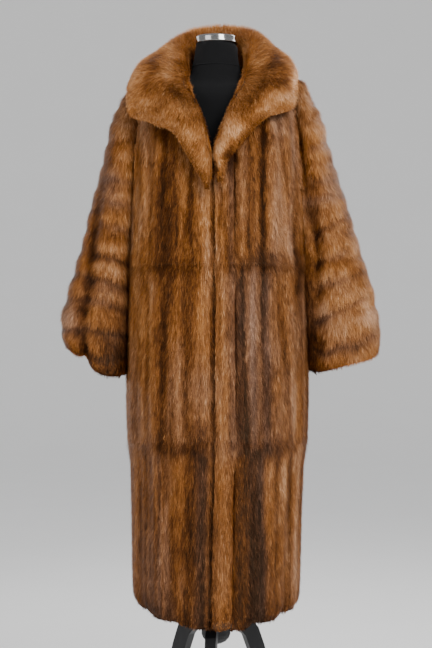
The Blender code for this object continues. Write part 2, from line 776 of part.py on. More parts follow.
def collar_mesh():
    """Make the collar: a wall that rises from the neckline, rolls over and falls outwards."""
    last = len(COLLAR) - 1
    middle = []
    seams = []
    fullness = []
    for index in range(COLLAR_STATIONS + 1):
        station = last * index / COLLAR_STATIONS
        bearing = blend(COLLAR, station, "bearing")
        points = [blend(COLLAR, station, field) for field in ("roll", "fall", "edge")]
        seam, onward, outward = collar_seam(bearing)
        seams.append(outward)
        turn = abs(turn_between(bearing, 0.0))
        fullness.append(1.0 - FRONT_THINNER * (1.0 - smoothstep(turn, 12.0, 40.0)))
        points = [seam, seam + onward * COLLAR_RISE, *points]
        middle.append([curve_point(points, step) for step in COLLAR_STEPS])
    face = []
    under = []
    for i, line in enumerate(middle):
        before = middle[max(i - 1, 0)]
        after = middle[min(i + 1, len(middle) - 1)]
        up, down = [], []
        for j, point in enumerate(line):
            if j == 0:
                direction = -seams[i]
            else:
                along = after[j] - before[j]
                across = line[min(j + 1, len(line) - 1)] - line[j - 1]
                direction = across.cross(along).normalized()
            half = collar_thickness(COLLAR_STEPS[j]) / 2 * fullness[i]
            up.append(point + direction * half)
            down.append(point - direction * half)
        face.append(up)
        under.append(down)
    rings = [up + down[::-1] for up, down in zip(face, under)]
    mesh = solid_mesh("collar", rings)
    smooth(mesh, 50.0)
    return mesh




# ---------------------------------------------------------------- the dress form
def form_ring(row):
    """Return a ring of the form's body."""
    ring = []
    for k in range(SKINS):
        angle = math.radians(CLOSING_ANGLE + k * SKIN_WIDTH)
        side, depth = math.cos(angle), math.sin(angle)
        reach = row.front if depth < 0 else row.back
        ring.append(Vector((row.half_width * side, reach * depth, row.height)))
    return ring


def form_mesh():
    """Make the form's body, whose shoulders run parallel to the inside of the coat."""
    rings = [form_ring(row) for row in FORM_LOWER]
    for ring in SHOULDERS:
        depth = FUR_WALL + ring.clearance
        rings.append([body_point(k * SKIN_WIDTH, ring.station, depth) for k in range(SKINS)])
    rings += [form_ring(row) for row in FORM_NECK]
    mesh = solid_mesh("form_body", rings)
    smooth(mesh, 45.0)
    return mesh


def turned_mesh(name, profile, collection, segments=40):
    """Return a solid of revolution; the profile runs down its outer side from the axis."""
    path = bpy.data.meshes.new(f"{name}_profile")
    points = [(radius, 0.0, height) for radius, height in profile]
    path.from_pydata(points, [(k, k + 1) for k in range(len(points) - 1)], [])
    item = add_object(f"{name}_profile", path, collection)
    screw = item.modifiers.new("turn", "SCREW")
    screw.steps = segments
    screw.render_steps = segments
    screw.use_merge_vertices = True
    screw.merge_threshold = 0.00001
    bpy.context.view_layer.update()
    mesh = bpy.data.meshes.new_from_object(item.evaluated_get(bpy.context.evaluated_depsgraph_get()))
    mesh.name = name
    bpy.data.objects.remove(item, do_unlink=True)
    work = bmesh.new()
    work.from_mesh(mesh)
    bmesh.ops.remove_doubles(work, verts=work.verts, dist=0.00001)
    bmesh.ops.recalc_face_normals(work, faces=work.faces)
    work.to_mesh(mesh)
    work.free()
    smooth(mesh, 35.0)
    return mesh


def hub_profile():
    """Return the turned hub's profile: a collar, a waist and a rounded knob below."""
    r = HUB_RADIUS
    return (
        (0.0, HUB_TOP), (0.020, HUB_TOP), (0.024, HUB_TOP - 0.003), (0.024, HUB_TOP - 0.014),
        (r, HUB_TOP - 0.020), (r, HUB_BOTTOM + 0.022), (r - 0.003, HUB_BOTTOM + 0.014),
        (r - 0.010, HUB_BOTTOM + 0.006), (r - 0.020, HUB_BOTTOM + 0.001), (0.0, HUB_BOTTOM),
    )


def cap_profile():
    """Return the neck cap's profile: a straight band with a softly domed top."""
    top = CAP_BOTTOM + CAP_HEIGHT
    r = CAP_RADIUS
    return (
        (0.0, top + 0.002), (0.020, top + 0.0015), (r - 0.006, top), (r - 0.0015, top - 0.0008),
        (r, top - 0.003), (r, CAP_BOTTOM + 0.002), (r - 0.001, CAP_BOTTOM), (0.0, CAP_BOTTOM),
    )


def leg_outline():
    """Return the closed outline of a leg's board in its own plane, narrowing to the foot."""
    left, right = [], []
    last = len(LEG_LINE) - 1
    for index, point in enumerate(LEG_LINE):
        before = LEG_LINE[max(index - 1, 0)]
        after = LEG_LINE[min(index + 1, last)]
        run = Vector((after.reach - before.reach, after.height - before.height)).normalized()
        half = LEG_WIDTH / 2 * (1.0 - 0.22 * index / last)
        aside = Vector((-run.y, run.x)) * half
        centre = Vector((point.reach, point.height))
        left.append(centre + aside)
        right.append(centre - aside)
    start = HUB_RADIUS + SEAM_GAP
    left[0].x = right[0].x = start
    floor = GLIDE_HEIGHT + SEAM_GAP
    right = [Vector((p.x, max(p.y, floor))) for p in right]
    return left + right[::-1]


def leg_mesh(name, collection):
    """Make one leg: a flat curved board with eased edges."""
    curve = bpy.data.curves.new(name, "CURVE")
    curve.dimensions = "2D"
    curve.fill_mode = "BOTH"
    curve.extrude = LEG_THICKNESS / 2
    outline = leg_outline()
    spline = curve.splines.new("POLY")
    spline.points.add(len(outline) - 1)
    for point, place in zip(spline.points, outline):
        point.co = (place.x, place.y, 0.0, 1.0)
    spline.use_cyclic_u = True
    item = bpy.data.objects.new(name, curve)
    collection.objects.link(item)
    bpy.context.view_layer.update()
    mesh = bpy.data.meshes.new_from_object(item.evaluated_get(bpy.context.evaluated_depsgraph_get()))
    bpy.data.objects.remove(item, do_unlink=True)
    work = bmesh.new()
    work.from_mesh(mesh)
    bmesh.ops.remove_doubles(work, verts=work.verts, dist=0.00001)
    bmesh.ops.recalc_face_normals(work, faces=work.faces)
    work.to_mesh(mesh)
    work.free()
    return mesh


def add_stand(collection, parent, black, metal):
    """Add the pole, its flange, the hub, the three legs and their glides."""
    parts = (
        ("pole", POLE_RADIUS, HUB_TOP + SEAM_GAP, FORM_LOWER[0].height - 0.010 - SEAM_GAP * 2, metal),
        ("flange", 0.055, FORM_LOWER[0].height - 0.010 - SEAM_GAP,
         FORM_LOWER[0].height - SEAM_GAP, black),
    )
    for name, radius, bottom, top, material in parts:
        profile = ((0.0, top), (radius - 0.001, top), (radius, top - 0.001),
                   (radius, bottom + 0.001), (radius - 0.001, bottom), (0.0, bottom))
        add_object(name, turned_mesh(name, profile, collection, 32), collection, material, parent)
    add_object("hub", turned_mesh("hub", hub_profile(), collection), collection, black, parent)
    for number, angle in enumerate(LEG_ANGLES, 1):
        name = f"leg_{number}"
        leg = add_object(name, leg_mesh(name, collection), collection, black, parent)
        leg.rotation_euler = (math.radians(90.0), 0.0, math.radians(angle))
        profile = ((0.0, GLIDE_HEIGHT), (GLIDE_RADIUS - 0.001, GLIDE_HEIGHT),
                   (GLIDE_RADIUS, GLIDE_HEIGHT - 0.001), (GLIDE_RADIUS, 0.001),
                   (GLIDE_RADIUS - 0.001, 0.0), (0.0, 0.0))
        name = f"glide_{number}"
        glide = add_object(name, turned_mesh(name, profile, collection, 24), collection, metal, parent)
        turn = math.radians(angle)
        glide.location = (FOOT_REACH * math.cos(turn), FOOT_REACH * math.sin(turn), 0.0)


# ---------------------------------------------------------------- the whole
def main():
    """Build the coat, the form and the stand."""
    clear_scene()
    parts = new_collection("fur_coat_on_dress_form")
    tools = new_collection("cutters")
    frame = bpy.data.objects.new("form_axis", None)
    parts.objects.link(frame)
    frame.location = (FORM_X, FORM_Y, 0.0)

    fur = finish_material("brown_fur", (0.33, 0.13, 0.04), 0.8)
    black = finish_material("black_lacquer", (0.012, 0.012, 0.013), 0.35)
    jersey = finish_material("black_jersey", (0.015, 0.015, 0.016), 0.85)
    metal = finish_material("bright_metal", (0.72, 0.70, 0.66), 0.12, 1.0)

    sleeves = (
        Sleeve("sleeve_right", -1.0, RIGHT_SLEEVE, RIGHT_FOLD),
        Sleeve("sleeve_left", 1.0, LEFT_SLEEVE, LEFT_FOLD),
    )
    hollow = make_cutter("coat_hollow", lining_rings(), tools, parent=frame)
    room = {}
    for sleeve in sleeves:
        item = add_object(sleeve.name, sleeve.mesh(), parts, fur.copy(), frame)
        cut_away(item, hollow)
        cutter = make_cutter(f"{sleeve.name}_room", sleeve.grown_rings(), tools,
                             sleeve.tip(-SEAM_GAP), frame)
        room[sleeve.name] = cutter

    back_columns = panel_columns(90.0, 270.0)
    panels = (
        ("front_left", left_front_mesh(), ("sleeve_left",)),
        ("front_right", right_front_mesh(), ("sleeve_right",)),
        ("back", body_panel("back", back_columns, crease_indices(back_columns)),
         ("sleeve_left", "sleeve_right")),
    )
    for name, mesh, beside in panels:
        item = add_object(name, mesh, parts, fur.copy(), frame)
        for sleeve_name in beside:
            cut_away(item, room[sleeve_name])
    add_object("collar", collar_mesh(), parts, fur.copy(), frame)

    add_object("form_body", form_mesh(), parts, jersey, frame)
    add_object("neck_cap", turned_mesh("neck_cap", cap_profile(), tools), parts, metal.copy(), frame)
    add_stand(parts, frame, black, metal)


main()
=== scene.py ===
"""Looks of a full-length fur coat that hangs on a limbless dress form with a three-legged stand.

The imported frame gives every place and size. Each cloth piece becomes a pelt, a wall inside its
solid, and a pile of strands that reaches the solid's outer side. The form, its cap and the stand
are finished after that. Metres, +Z up; the coat's front faces -Y.
"""

import logging
import math
from dataclasses import dataclass
from enum import Enum

import bmesh
import bpy
import numpy as np
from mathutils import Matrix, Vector
from mathutils.bvhtree import BVHTree


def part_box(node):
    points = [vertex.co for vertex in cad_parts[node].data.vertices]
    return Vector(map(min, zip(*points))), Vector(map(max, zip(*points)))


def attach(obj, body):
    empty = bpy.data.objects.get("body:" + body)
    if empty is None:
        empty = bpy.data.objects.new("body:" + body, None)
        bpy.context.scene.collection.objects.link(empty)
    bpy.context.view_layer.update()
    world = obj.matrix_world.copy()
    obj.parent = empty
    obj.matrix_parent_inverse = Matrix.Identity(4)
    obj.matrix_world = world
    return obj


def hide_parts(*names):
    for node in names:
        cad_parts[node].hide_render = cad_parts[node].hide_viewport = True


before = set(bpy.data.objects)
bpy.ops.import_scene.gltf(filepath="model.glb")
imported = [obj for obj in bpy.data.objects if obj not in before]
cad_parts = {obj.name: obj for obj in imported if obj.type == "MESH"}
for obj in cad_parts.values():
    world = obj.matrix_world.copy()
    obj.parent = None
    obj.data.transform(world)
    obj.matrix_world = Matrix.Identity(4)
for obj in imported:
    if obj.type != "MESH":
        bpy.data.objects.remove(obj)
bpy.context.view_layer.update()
LOG = logging.getLogger("fur_coat")

Triple = tuple[float, float, float]
Colour = Triple
Points = np.ndarray
Shades = tuple[np.ndarray, np.ndarray]      # the tone and the coolness of the fur at each point
Table = tuple[tuple[float, float], ...]     # places in order, and a value at each
Line = tuple[Triple, ...]

BODY = "root"
WELD = 1e-5                     # corners closer than this are one
QUAD_SHAPE = 60.0               # how far from square a quad of two triangles may be, in degrees
LET_OUT_ROUNDS = 2              # how often a cage is let out
LINE_POINTS = 160               # points that stand for the collar's roll line or edge
TONE_LEVELS = 96                # steps of a strand's tone
COOL_LEVELS = 6                 # steps between warm and cool brown
HIDE_FACING = -0.45             # a face that faces out less than this is on the hide side
FUR_EDGE = 0.25                 # the fur thins out where a point faces out less than this
FURRED = 0.9                    # from this cover on, a point counts as furred
LUMP_LIMIT = 0.008              # the largest lump or hollow that is taken off
LEVEL = np.array([1.0, 1.0, 0.0])       # takes the upright part off a direction
DOWN = np.array([0.0, 0.0, -1.0])


class Slot(Enum):
    """Names of material slots, which nothing here assigns."""

    FUR = "brown_fur"
    JERSEY = "black_jersey"
    METAL = "bright_metal"
    LACQUER = "black_lacquer"


# ---------------------------------------------------------------- finishes
def new_material(name: str) -> tuple[bpy.types.Material, bpy.types.Node, bpy.types.NodeTree]:
    """Start a material.

    Args:
        name: The material's name.

    Returns:
        The material, its Principled shader and its node tree.
    """
    material = bpy.data.materials.new(name)
    material.use_nodes = True
    tree = material.node_tree
    return material, tree.nodes["Principled BSDF"], tree


def set_inputs(node: bpy.types.Node, values: dict[str, object]) -> None:
    """Set a node's inputs by name."""
    for name, value in values.items():
        node.inputs[name].default_value = value


def plug(tree: bpy.types.NodeTree, socket: bpy.types.NodeSocket, value: object) -> None:
    """Feed a socket from another socket, a colour or a number.

    Args:
        tree: The node tree.
        socket: The socket to feed.
        value: What feeds it.
    """
    if isinstance(value, bpy.types.NodeSocket):
        tree.links.new(value, socket)
    else:
        socket.default_value = (*value, 1.0) if isinstance(value, tuple) else value


def add_ramp(tree: bpy.types.NodeTree, stops: tuple[tuple[float, Colour], ...]) -> bpy.types.Node:
    """Add a colour ramp.

    Args:
        tree: The node tree.
        stops: Place and colour of each stop.

    Returns:
        The ramp's node.
    """
    node = tree.nodes.new("ShaderNodeValToRGB")
    elements = node.color_ramp.elements
    while len(elements) < len(stops):
        elements.new(0.5)
    for element, (place, colour) in zip(elements, stops):
        element.position = place
        element.color = (*colour, 1.0)
    return node


def add_attribute(tree: bpy.types.NodeTree, name: str) -> bpy.types.NodeSocket:
    """Add a reader of a mesh attribute and return its value."""
    node = tree.nodes.new("ShaderNodeAttribute")
    node.attribute_name = name
    return node.outputs["Fac"]


def add_math(tree: bpy.types.NodeTree, operation: str, *inputs: object) -> bpy.types.NodeSocket:
    """Add a Math node.

    Args:
        tree: The node tree.
        operation: The node's operation.
        inputs: Sockets and numbers.

    Returns:
        The result's socket.
    """
    node = tree.nodes.new("ShaderNodeMath")
    node.operation = operation
    for socket, value in zip(node.inputs, inputs):
        plug(tree, socket, value)
    return node.outputs[0]


def add_mix(
    tree: bpy.types.NodeTree, share: object, first: object, second: object, blend: str = "MIX"
) -> bpy.types.NodeSocket:
    """Add a colour Mix node.

    Args:
        tree: The node tree.
        share: How much of the second colour there is.
        first: The first colour or its socket.
        second: The second colour or its socket.
        blend: How the second is laid over the first.

    Returns:
        The result's socket.
    """
    node = tree.nodes.new("ShaderNodeMix")
    node.data_type = "RGBA"
    node.blend_type = blend
    for number, value in ((0, share), (6, first), (7, second)):
        plug(tree, node.inputs[number], value)
    return node.outputs[2]


def add_noise(
    tree: bpy.types.NodeTree, scale: float, detail: float, stretch: Triple = (1.0, 1.0, 1.0)
) -> bpy.types.NodeSocket:
    """Add noise on object coordinates.

    Args:
        tree: The node tree.
        scale: How fine the noise is.
        detail: How many finer layers it has.
        stretch: Scale along each axis.

    Returns:
        The value's socket.
    """
    place = tree.nodes.new("ShaderNodeTexCoord")
    mapping = tree.nodes.new("ShaderNodeMapping")
    mapping.inputs["Scale"].default_value = stretch
    noise = tree.nodes.new("ShaderNodeTexNoise")
    set_inputs(noise, {"Scale": scale, "Detail": detail})
    tree.links.new(place.outputs["Object"], mapping.inputs["Vector"])
    tree.links.new(mapping.outputs["Vector"], noise.inputs["Vector"])
    return noise.outputs[0]


def add_bump(
    tree: bpy.types.NodeTree, shader: bpy.types.Node, height: bpy.types.NodeSocket,
    strength: float, distance: float,
) -> None:
    """Drive a shader's normal from a height.

    Args:
        tree: The node tree.
        shader: The shader.
        height: The height's socket.
        strength: How strong the bump is.
        distance: How deep it is.
    """
    bump = tree.nodes.new("ShaderNodeBump")
    set_inputs(bump, {"Strength": strength, "Distance": distance})
    tree.links.new(height, bump.inputs["Height"])
    tree.links.new(bump.outputs["Normal"], shader.inputs["Normal"])


@dataclass(frozen=True)
class FurFinish:
    """Brown fur: a ramp from the dark back of a skin to its pale flanks, warm or cool.

    Attributes:
        warm: Stops of the warm ramp, from dark to pale.
        cool: Stops of the cool ramp.
        root: What the colour is multiplied by at a strand's root.
        tip: What it is multiplied by at a strand's tip.
    """

    warm: tuple[tuple[float, Colour], ...] = (
        (0.00, (0.018, 0.006, 0.0015)),
        (0.22, (0.080, 0.024, 0.005)),
        (0.42, (0.212, 0.070, 0.012)),
        (0.60, (0.375, 0.148, 0.036)),
        (0.80, (0.570, 0.275, 0.098)),
        (1.00, (0.800, 0.500, 0.270)),
    )
    cool: tuple[tuple[float, Colour], ...] = (
        (0.00, (0.016, 0.008, 0.005)),
        (0.30, (0.082, 0.040, 0.026)),
        (0.60, (0.260, 0.140, 0.090)),
        (1.00, (0.680, 0.450, 0.310)),
    )
    root: Colour = (0.42, 0.36, 0.32)
    tip: Colour = (1.25, 1.22, 1.20)

    def colour(self, tree: bpy.types.NodeTree, tone: bpy.types.NodeSocket) -> bpy.types.NodeSocket:
        """Return the fur's colour for a tone.

        Args:
            tree: The node tree.
            tone: The tone's socket, 0 for dark and 1 for pale.

        Returns:
            The colour's socket.
        """
        warm, cool = add_ramp(tree, self.warm), add_ramp(tree, self.cool)
        for node in (warm, cool):
            tree.links.new(tone, node.inputs[0])
        return add_mix(tree, add_attribute(tree, "cool"), warm.outputs[0], cool.outputs[0])

    def strands(self) -> bpy.types.Material:
        """Make the finish of the pile: darker at the root and paler at the tip."""
        material, shader, tree = new_material("brown_fur_pile")
        colour = self.colour(tree, add_attribute(tree, "tone"))
        along = add_mix(tree, add_attribute(tree, "along"), self.root, self.tip)
        colour = add_mix(tree, 1.0, colour, along, "MULTIPLY")
        tree.links.new(colour, shader.inputs["Base Color"])
        set_inputs(shader, {"Roughness": 0.44, "Specular IOR Level": 0.24,
                            "Specular Tint": (1.0, 0.62, 0.36, 1.0)})
        return material

    def underfur(self) -> bpy.types.Material:
        """Make the finish of the dense underfur between the strands."""
        material, shader, tree = new_material("brown_fur_underfur")
        streaks = add_noise(tree, 240.0, 4.0, (1.0, 1.0, 0.14))
        tone = add_math(tree, "MULTIPLY_ADD", streaks, 0.5, -0.36)
        tone = add_math(tree, "ADD", tone, add_attribute(tree, "tone"))
        tree.links.new(self.colour(tree, tone), shader.inputs["Base Color"])
        set_inputs(shader, {"Roughness": 0.8, "Specular IOR Level": 0.05})
        add_bump(tree, shader, streaks, 0.7, 0.002)
        return material

    def hide(self) -> bpy.types.Material:
        """Make the finish of the pelt's plain inner side."""
        material, shader, tree = new_material("brown_fur_hide")
        grain = add_noise(tree, 420.0, 3.0)
        colour = add_mix(tree, grain, (0.035, 0.015, 0.007), (0.075, 0.036, 0.018))
        tree.links.new(colour, shader.inputs["Base Color"])
        set_inputs(shader, {"Roughness": 0.8, "Specular IOR Level": 0.15})
        add_bump(tree, shader, grain, 0.35, 0.0008)
        return material


@dataclass(frozen=True)
class JerseyFinish:
    """Matte black knitted cover of the form.

    Attributes:
        yarn: The yarn's colour.
        gap: The colour between stitches.
        stitch: A stitch's size.
    """

    yarn: Colour = (0.0065, 0.0065, 0.0070)
    gap: Colour = (0.0025, 0.0025, 0.0028)
    stitch: float = 0.0016

    def build(self) -> bpy.types.Material:
        """Make the material: fine columns of stitches with a soft sheen."""
        material, shader, tree = new_material("black_jersey_knit")
        place = tree.nodes.new("ShaderNodeTexCoord")
        heights = []
        for direction in ("X", "Z"):
            wave = tree.nodes.new("ShaderNodeTexWave")
            wave.bands_direction = direction
            set_inputs(wave, {"Scale": 0.32 / self.stitch, "Distortion": 1.2, "Detail": 1.0})
            tree.links.new(place.outputs["Object"], wave.inputs["Vector"])
            heights.append(wave.outputs["Fac"])
        knit = add_math(tree, "MULTIPLY", *heights)
        colour = add_mix(tree, knit, self.gap, self.yarn)
        shade = add_math(tree, "MULTIPLY_ADD", add_noise(tree, 90.0, 4.0), 0.5, 0.75)
        colour = add_mix(tree, shade, (0.005, 0.005, 0.005), colour)
        tree.links.new(colour, shader.inputs["Base Color"])
        set_inputs(shader, {"Roughness": 0.9, "Specular IOR Level": 0.15, "Sheen Weight": 0.03})
        add_bump(tree, shader, knit, 0.3, 0.0006)
        return material


@dataclass(frozen=True)
class ChromeFinish:
    """Polished plate with the faint swirls of wiping."""

    colour: Colour = (0.25, 0.245, 0.24)

    def build(self) -> bpy.types.Material:
        """Make the material."""
        material, shader, tree = new_material("bright_metal_polished")
        set_inputs(shader, {"Base Color": (*self.colour, 1.0), "Metallic": 1.0})
        rough = add_math(tree, "MULTIPLY_ADD", add_noise(tree, 60.0, 6.0), 0.20, 0.04)
        tree.links.new(rough, shader.inputs["Roughness"])
        return material


@dataclass(frozen=True)
class LacquerFinish:
    """Black lacquer on flat boards, with a little dust."""

    colour: Colour = (0.006, 0.006, 0.007)
    dust: Colour = (0.030, 0.029, 0.028)

    def build(self) -> bpy.types.Material:
        """Make the material."""
        material, shader, tree = new_material("black_lacquer_satin")
        grain = add_noise(tree, 55.0, 5.0, (1.0, 1.0, 0.25))
        dust = add_math(tree, "MULTIPLY_ADD", grain, 0.9, -0.42)
        dust = add_math(tree, "MAXIMUM", dust, 0.0)
        tree.links.new(add_mix(tree, dust, self.colour, self.dust), shader.inputs["Base Color"])
        tree.links.new(add_math(tree, "MULTIPLY_ADD", grain, 0.25, 0.32), shader.inputs["Roughness"])
        set_inputs(shader, {"Specular IOR Level": 0.3})
        add_bump(tree, shader, grain, 0.08, 0.001)
        return material


@dataclass(frozen=True)
class FloorFinish:
    """Pale seamless floor.

    Attributes:
        colour: The floor's colour.
        shade: How much of it is left in the darker clouds.
    """

    colour: Colour = (0.92, 0.915, 0.90)
    shade: float = 0.97

    def build(self) -> bpy.types.Material:
        """Make the material."""
        material, shader, tree = new_material("pale_floor")
        low = tuple(self.shade * value for value in self.colour)
        tree.links.new(add_mix(tree, add_noise(tree, 3.0, 3.0), low, self.colour),
                       shader.inputs["Base Color"])
        set_inputs(shader, {"Roughness": 0.8})
        return material


# ---------------------------------------------------------------- mesh helpers
def link(name: str, data: bpy.types.ID) -> bpy.types.Object:
    """Put a mesh, curve, light or camera into the scene as an object at the origin."""
    item = bpy.data.objects.new(name, data)
    bpy.context.scene.collection.objects.link(item)
    return item


def evaluated_mesh(item: bpy.types.Object) -> bpy.types.Mesh:
    """Return an object's mesh with its modifiers applied."""
    graph = bpy.context.evaluated_depsgraph_get()
    return bpy.data.meshes.new_from_object(item.evaluated_get(graph))


def finish_mesh(mesh: bpy.types.Mesh, *materials: bpy.types.Material) -> None:
    """Give a mesh its materials and shade it smooth.

    Args:
        mesh: The mesh.
        materials: Its materials, the first of them for every face.
    """
    mesh.materials.clear()
    for material in materials:
        mesh.materials.append(material)
    for face in mesh.polygons:
        face.use_smooth = True


def fine_copy(
    node: str, name: str, levels: int, facet: float = 40.0, hold: float = 1.0
) -> bpy.types.Mesh:
    """Copy a node's mesh, make its triangles quads where they were and subdivide it.

    The cage is let out a set number of times, each time by a share of what the finer mesh misses of the
    node's own corners.

    Args:
        node: The node of the frame.
        name: The new mesh's name.
        levels: Subdivision levels.
        facet: Largest angle between two triangles that become a quad, in degrees.
        hold: Share of what the smoothing takes off that the cage gives back.

    Returns:
        The new mesh.
    """
    work = bmesh.new()
    work.from_mesh(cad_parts[node].data)
    bmesh.ops.remove_doubles(work, verts=work.verts, dist=WELD)
    bmesh.ops.join_triangles(work, faces=work.faces, angle_face_threshold=math.radians(facet),
                             angle_shape_threshold=math.radians(QUAD_SHAPE))
    mesh = bpy.data.meshes.new(name)
    work.to_mesh(mesh)
    work.free()
    item = link(name, mesh)
    divide = item.modifiers.new("finer", "SUBSURF")
    divide.levels = divide.render_levels = levels
    wanted = coordinates(mesh)
    fine = evaluated_mesh(item)
    for _ in range(LET_OUT_ROUNDS):
        lost = hold * (wanted - coordinates(fine)[:len(wanted)])
        held = coordinates(mesh) + lost
        mesh.vertices.foreach_set("co", held.astype(np.float32).ravel())
        mesh.update()
        bpy.data.meshes.remove(fine)
        fine = evaluated_mesh(item)
    bpy.data.objects.remove(item)
    fine.name = name
    return fine


def rows_of(items: bpy.types.bpy_prop_collection, key: str) -> Points:
    """Return a place or a direction of each item as rows."""
    flat = np.zeros(len(items) * 3, np.float32)
    items.foreach_get(key, flat)
    return flat.reshape(-1, 3).astype(float)


def coordinates(mesh: bpy.types.Mesh) -> Points:
    """Return a mesh's vertices as rows."""
    return rows_of(mesh.vertices, "co")


def vertex_normals(mesh: bpy.types.Mesh) -> Points:
    """Return a mesh's vertex normals as rows."""
    return rows_of(mesh.vertex_normals, "vector")


def edge_ends(mesh: bpy.types.Mesh) -> np.ndarray:
    """Return the two vertices of each edge."""
    flat = np.zeros(len(mesh.edges) * 2, np.int32)
    mesh.edges.foreach_get("vertices", flat)
    return flat.reshape(-1, 2)


def relaxed(points: Points, ends: np.ndarray, rounds: int) -> Points:
    """Move points towards the middle of their neighbours.

    Args:
        points: The points, or any rows of values at them.
        ends: The two points of each edge.
        rounds: How many times they move.

    Returns:
        The moved points.
    """
    count = np.bincount(ends.ravel(), minlength=len(points))[:, None].clip(1)
    for _ in range(rounds):
        total = np.zeros_like(points)
        np.add.at(total, ends[:, 0], points[ends[:, 1]])
        np.add.at(total, ends[:, 1], points[ends[:, 0]])
        points = 0.5 * points + 0.5 * total / count
    return points


def unit(vectors: Points) -> Points:
    """Return vectors at length 1."""
    return vectors / np.linalg.norm(vectors, axis=-1, keepdims=True).clip(1e-9)


def combed(wanted: Points, normals: Points) -> Points:
    """Return wanted directions laid into a surface."""
    return unit(wanted - normals * np.sum(wanted * normals, axis=1)[:, None])


def store(mesh: bpy.types.Mesh, name: str, values: np.ndarray) -> None:
    """Store a value or a vector for each vertex."""
    kind, key = ("FLOAT_VECTOR", "vector") if values.ndim == 2 else ("FLOAT", "value")
    layer = mesh.attributes.new(name, kind, "POINT")
    layer.data.foreach_set(key, values.astype(np.float32).ravel())


def read(mesh: bpy.types.Mesh, name: str) -> np.ndarray:
    """Read one value for each vertex."""
    values = np.zeros(len(mesh.vertices), np.float32)
    mesh.attributes[name].data.foreach_get("value", values)
    return values


def finer(points: Points, count: int) -> Points:
    """Space points evenly along a line.

    Args:
        points: The corners of the line's straight stretches.
        count: How many points there are afterwards.

    Returns:
        The new points.
    """
    spans = np.linalg.norm(np.diff(points, axis=0), axis=1)
    along = np.concatenate([[0.0], np.cumsum(spans)])
    steps = np.linspace(0.0, along[-1], count)
    return np.stack([np.interp(steps, along, points[:, axis]) for axis in range(3)], axis=1)


def ramp(values: np.ndarray, low: float | np.ndarray, high: float | np.ndarray) -> np.ndarray:
    """Return 0 below low, 1 above high and a soft ramp between."""
    share = ((values - low) / (high - low)).clip(0.0, 1.0)
    return share * share * (3.0 - 2.0 * share)


def fade(values: np.ndarray, low: float | np.ndarray, high: float | np.ndarray) -> np.ndarray:
    """Return 1 below low, 0 above high and a soft ramp between."""
    return 1.0 - ramp(values, low, high)


def bell(values: np.ndarray, middle: float | np.ndarray, reach: float) -> np.ndarray:
    """Return 1 at the middle, falling softly to about a third a reach away."""
    return np.exp(-((values - middle) / reach) ** 2)


def looked_up(table: Table, places: np.ndarray) -> np.ndarray:
    """Return a table's values at places between its rows."""
    rows = np.array(table)
    return np.interp(places, rows[:, 0], rows[:, 1])


AXIS_PRIMES = np.array([73856093, 19349663, 83492791])
SEED_PRIME = 2654435761
SCRAMBLE = 1274126177
NOISE_STEPS = 20011             # how many values a corner of the noise may have


def cloud(points: Points, seed: int) -> np.ndarray:
    """Make smooth noise from scrambled corners of a grid.

    Args:
        points: Where the noise is read, in a unit as large as its spots.
        seed: Which noise it is.

    Returns:
        A value between -1 and 1 at each point.
    """
    cell = np.floor(points).astype(np.int64)
    part = points - cell
    part = part * part * (3.0 - 2.0 * part)
    total = np.zeros(len(points))
    for corner in range(8):
        step = np.array([corner & 1, corner >> 1 & 1, corner >> 2 & 1])
        at = cell + step
        mixed = at * AXIS_PRIMES
        key = mixed[:, 0] ^ mixed[:, 1] ^ mixed[:, 2] ^ seed * SEED_PRIME
        key = (key ^ key >> 13) * SCRAMBLE & 0x7FFFFFFF
        weight = np.prod(np.where(step, part, 1.0 - part), axis=1)
        total += weight * ((key ^ key >> 11) % NOISE_STEPS / (0.5 * (NOISE_STEPS - 1)) - 1.0)
    return total


# ---------------------------------------------------------------- the pile's strands
class Chance(Enum):
    """What differs from strand to strand: its lowest value, its highest value and its seed."""

    TONE = (-0.085, 0.085, 3)
    COOL = (-0.1, 0.1, 4)
    SWING = (-1.0, 1.0, 5)
    LEAN = (-0.20, 0.02, 6)
    LENGTH = (0.65, 1.25, 7)
    WIDTH = (0.7, 1.3, 8)
    LIFT = (0.5, 1.15, 9)
    ROLL = (-0.35, 0.35, 10)
    GLINT = (0.0, 1.0, 12)


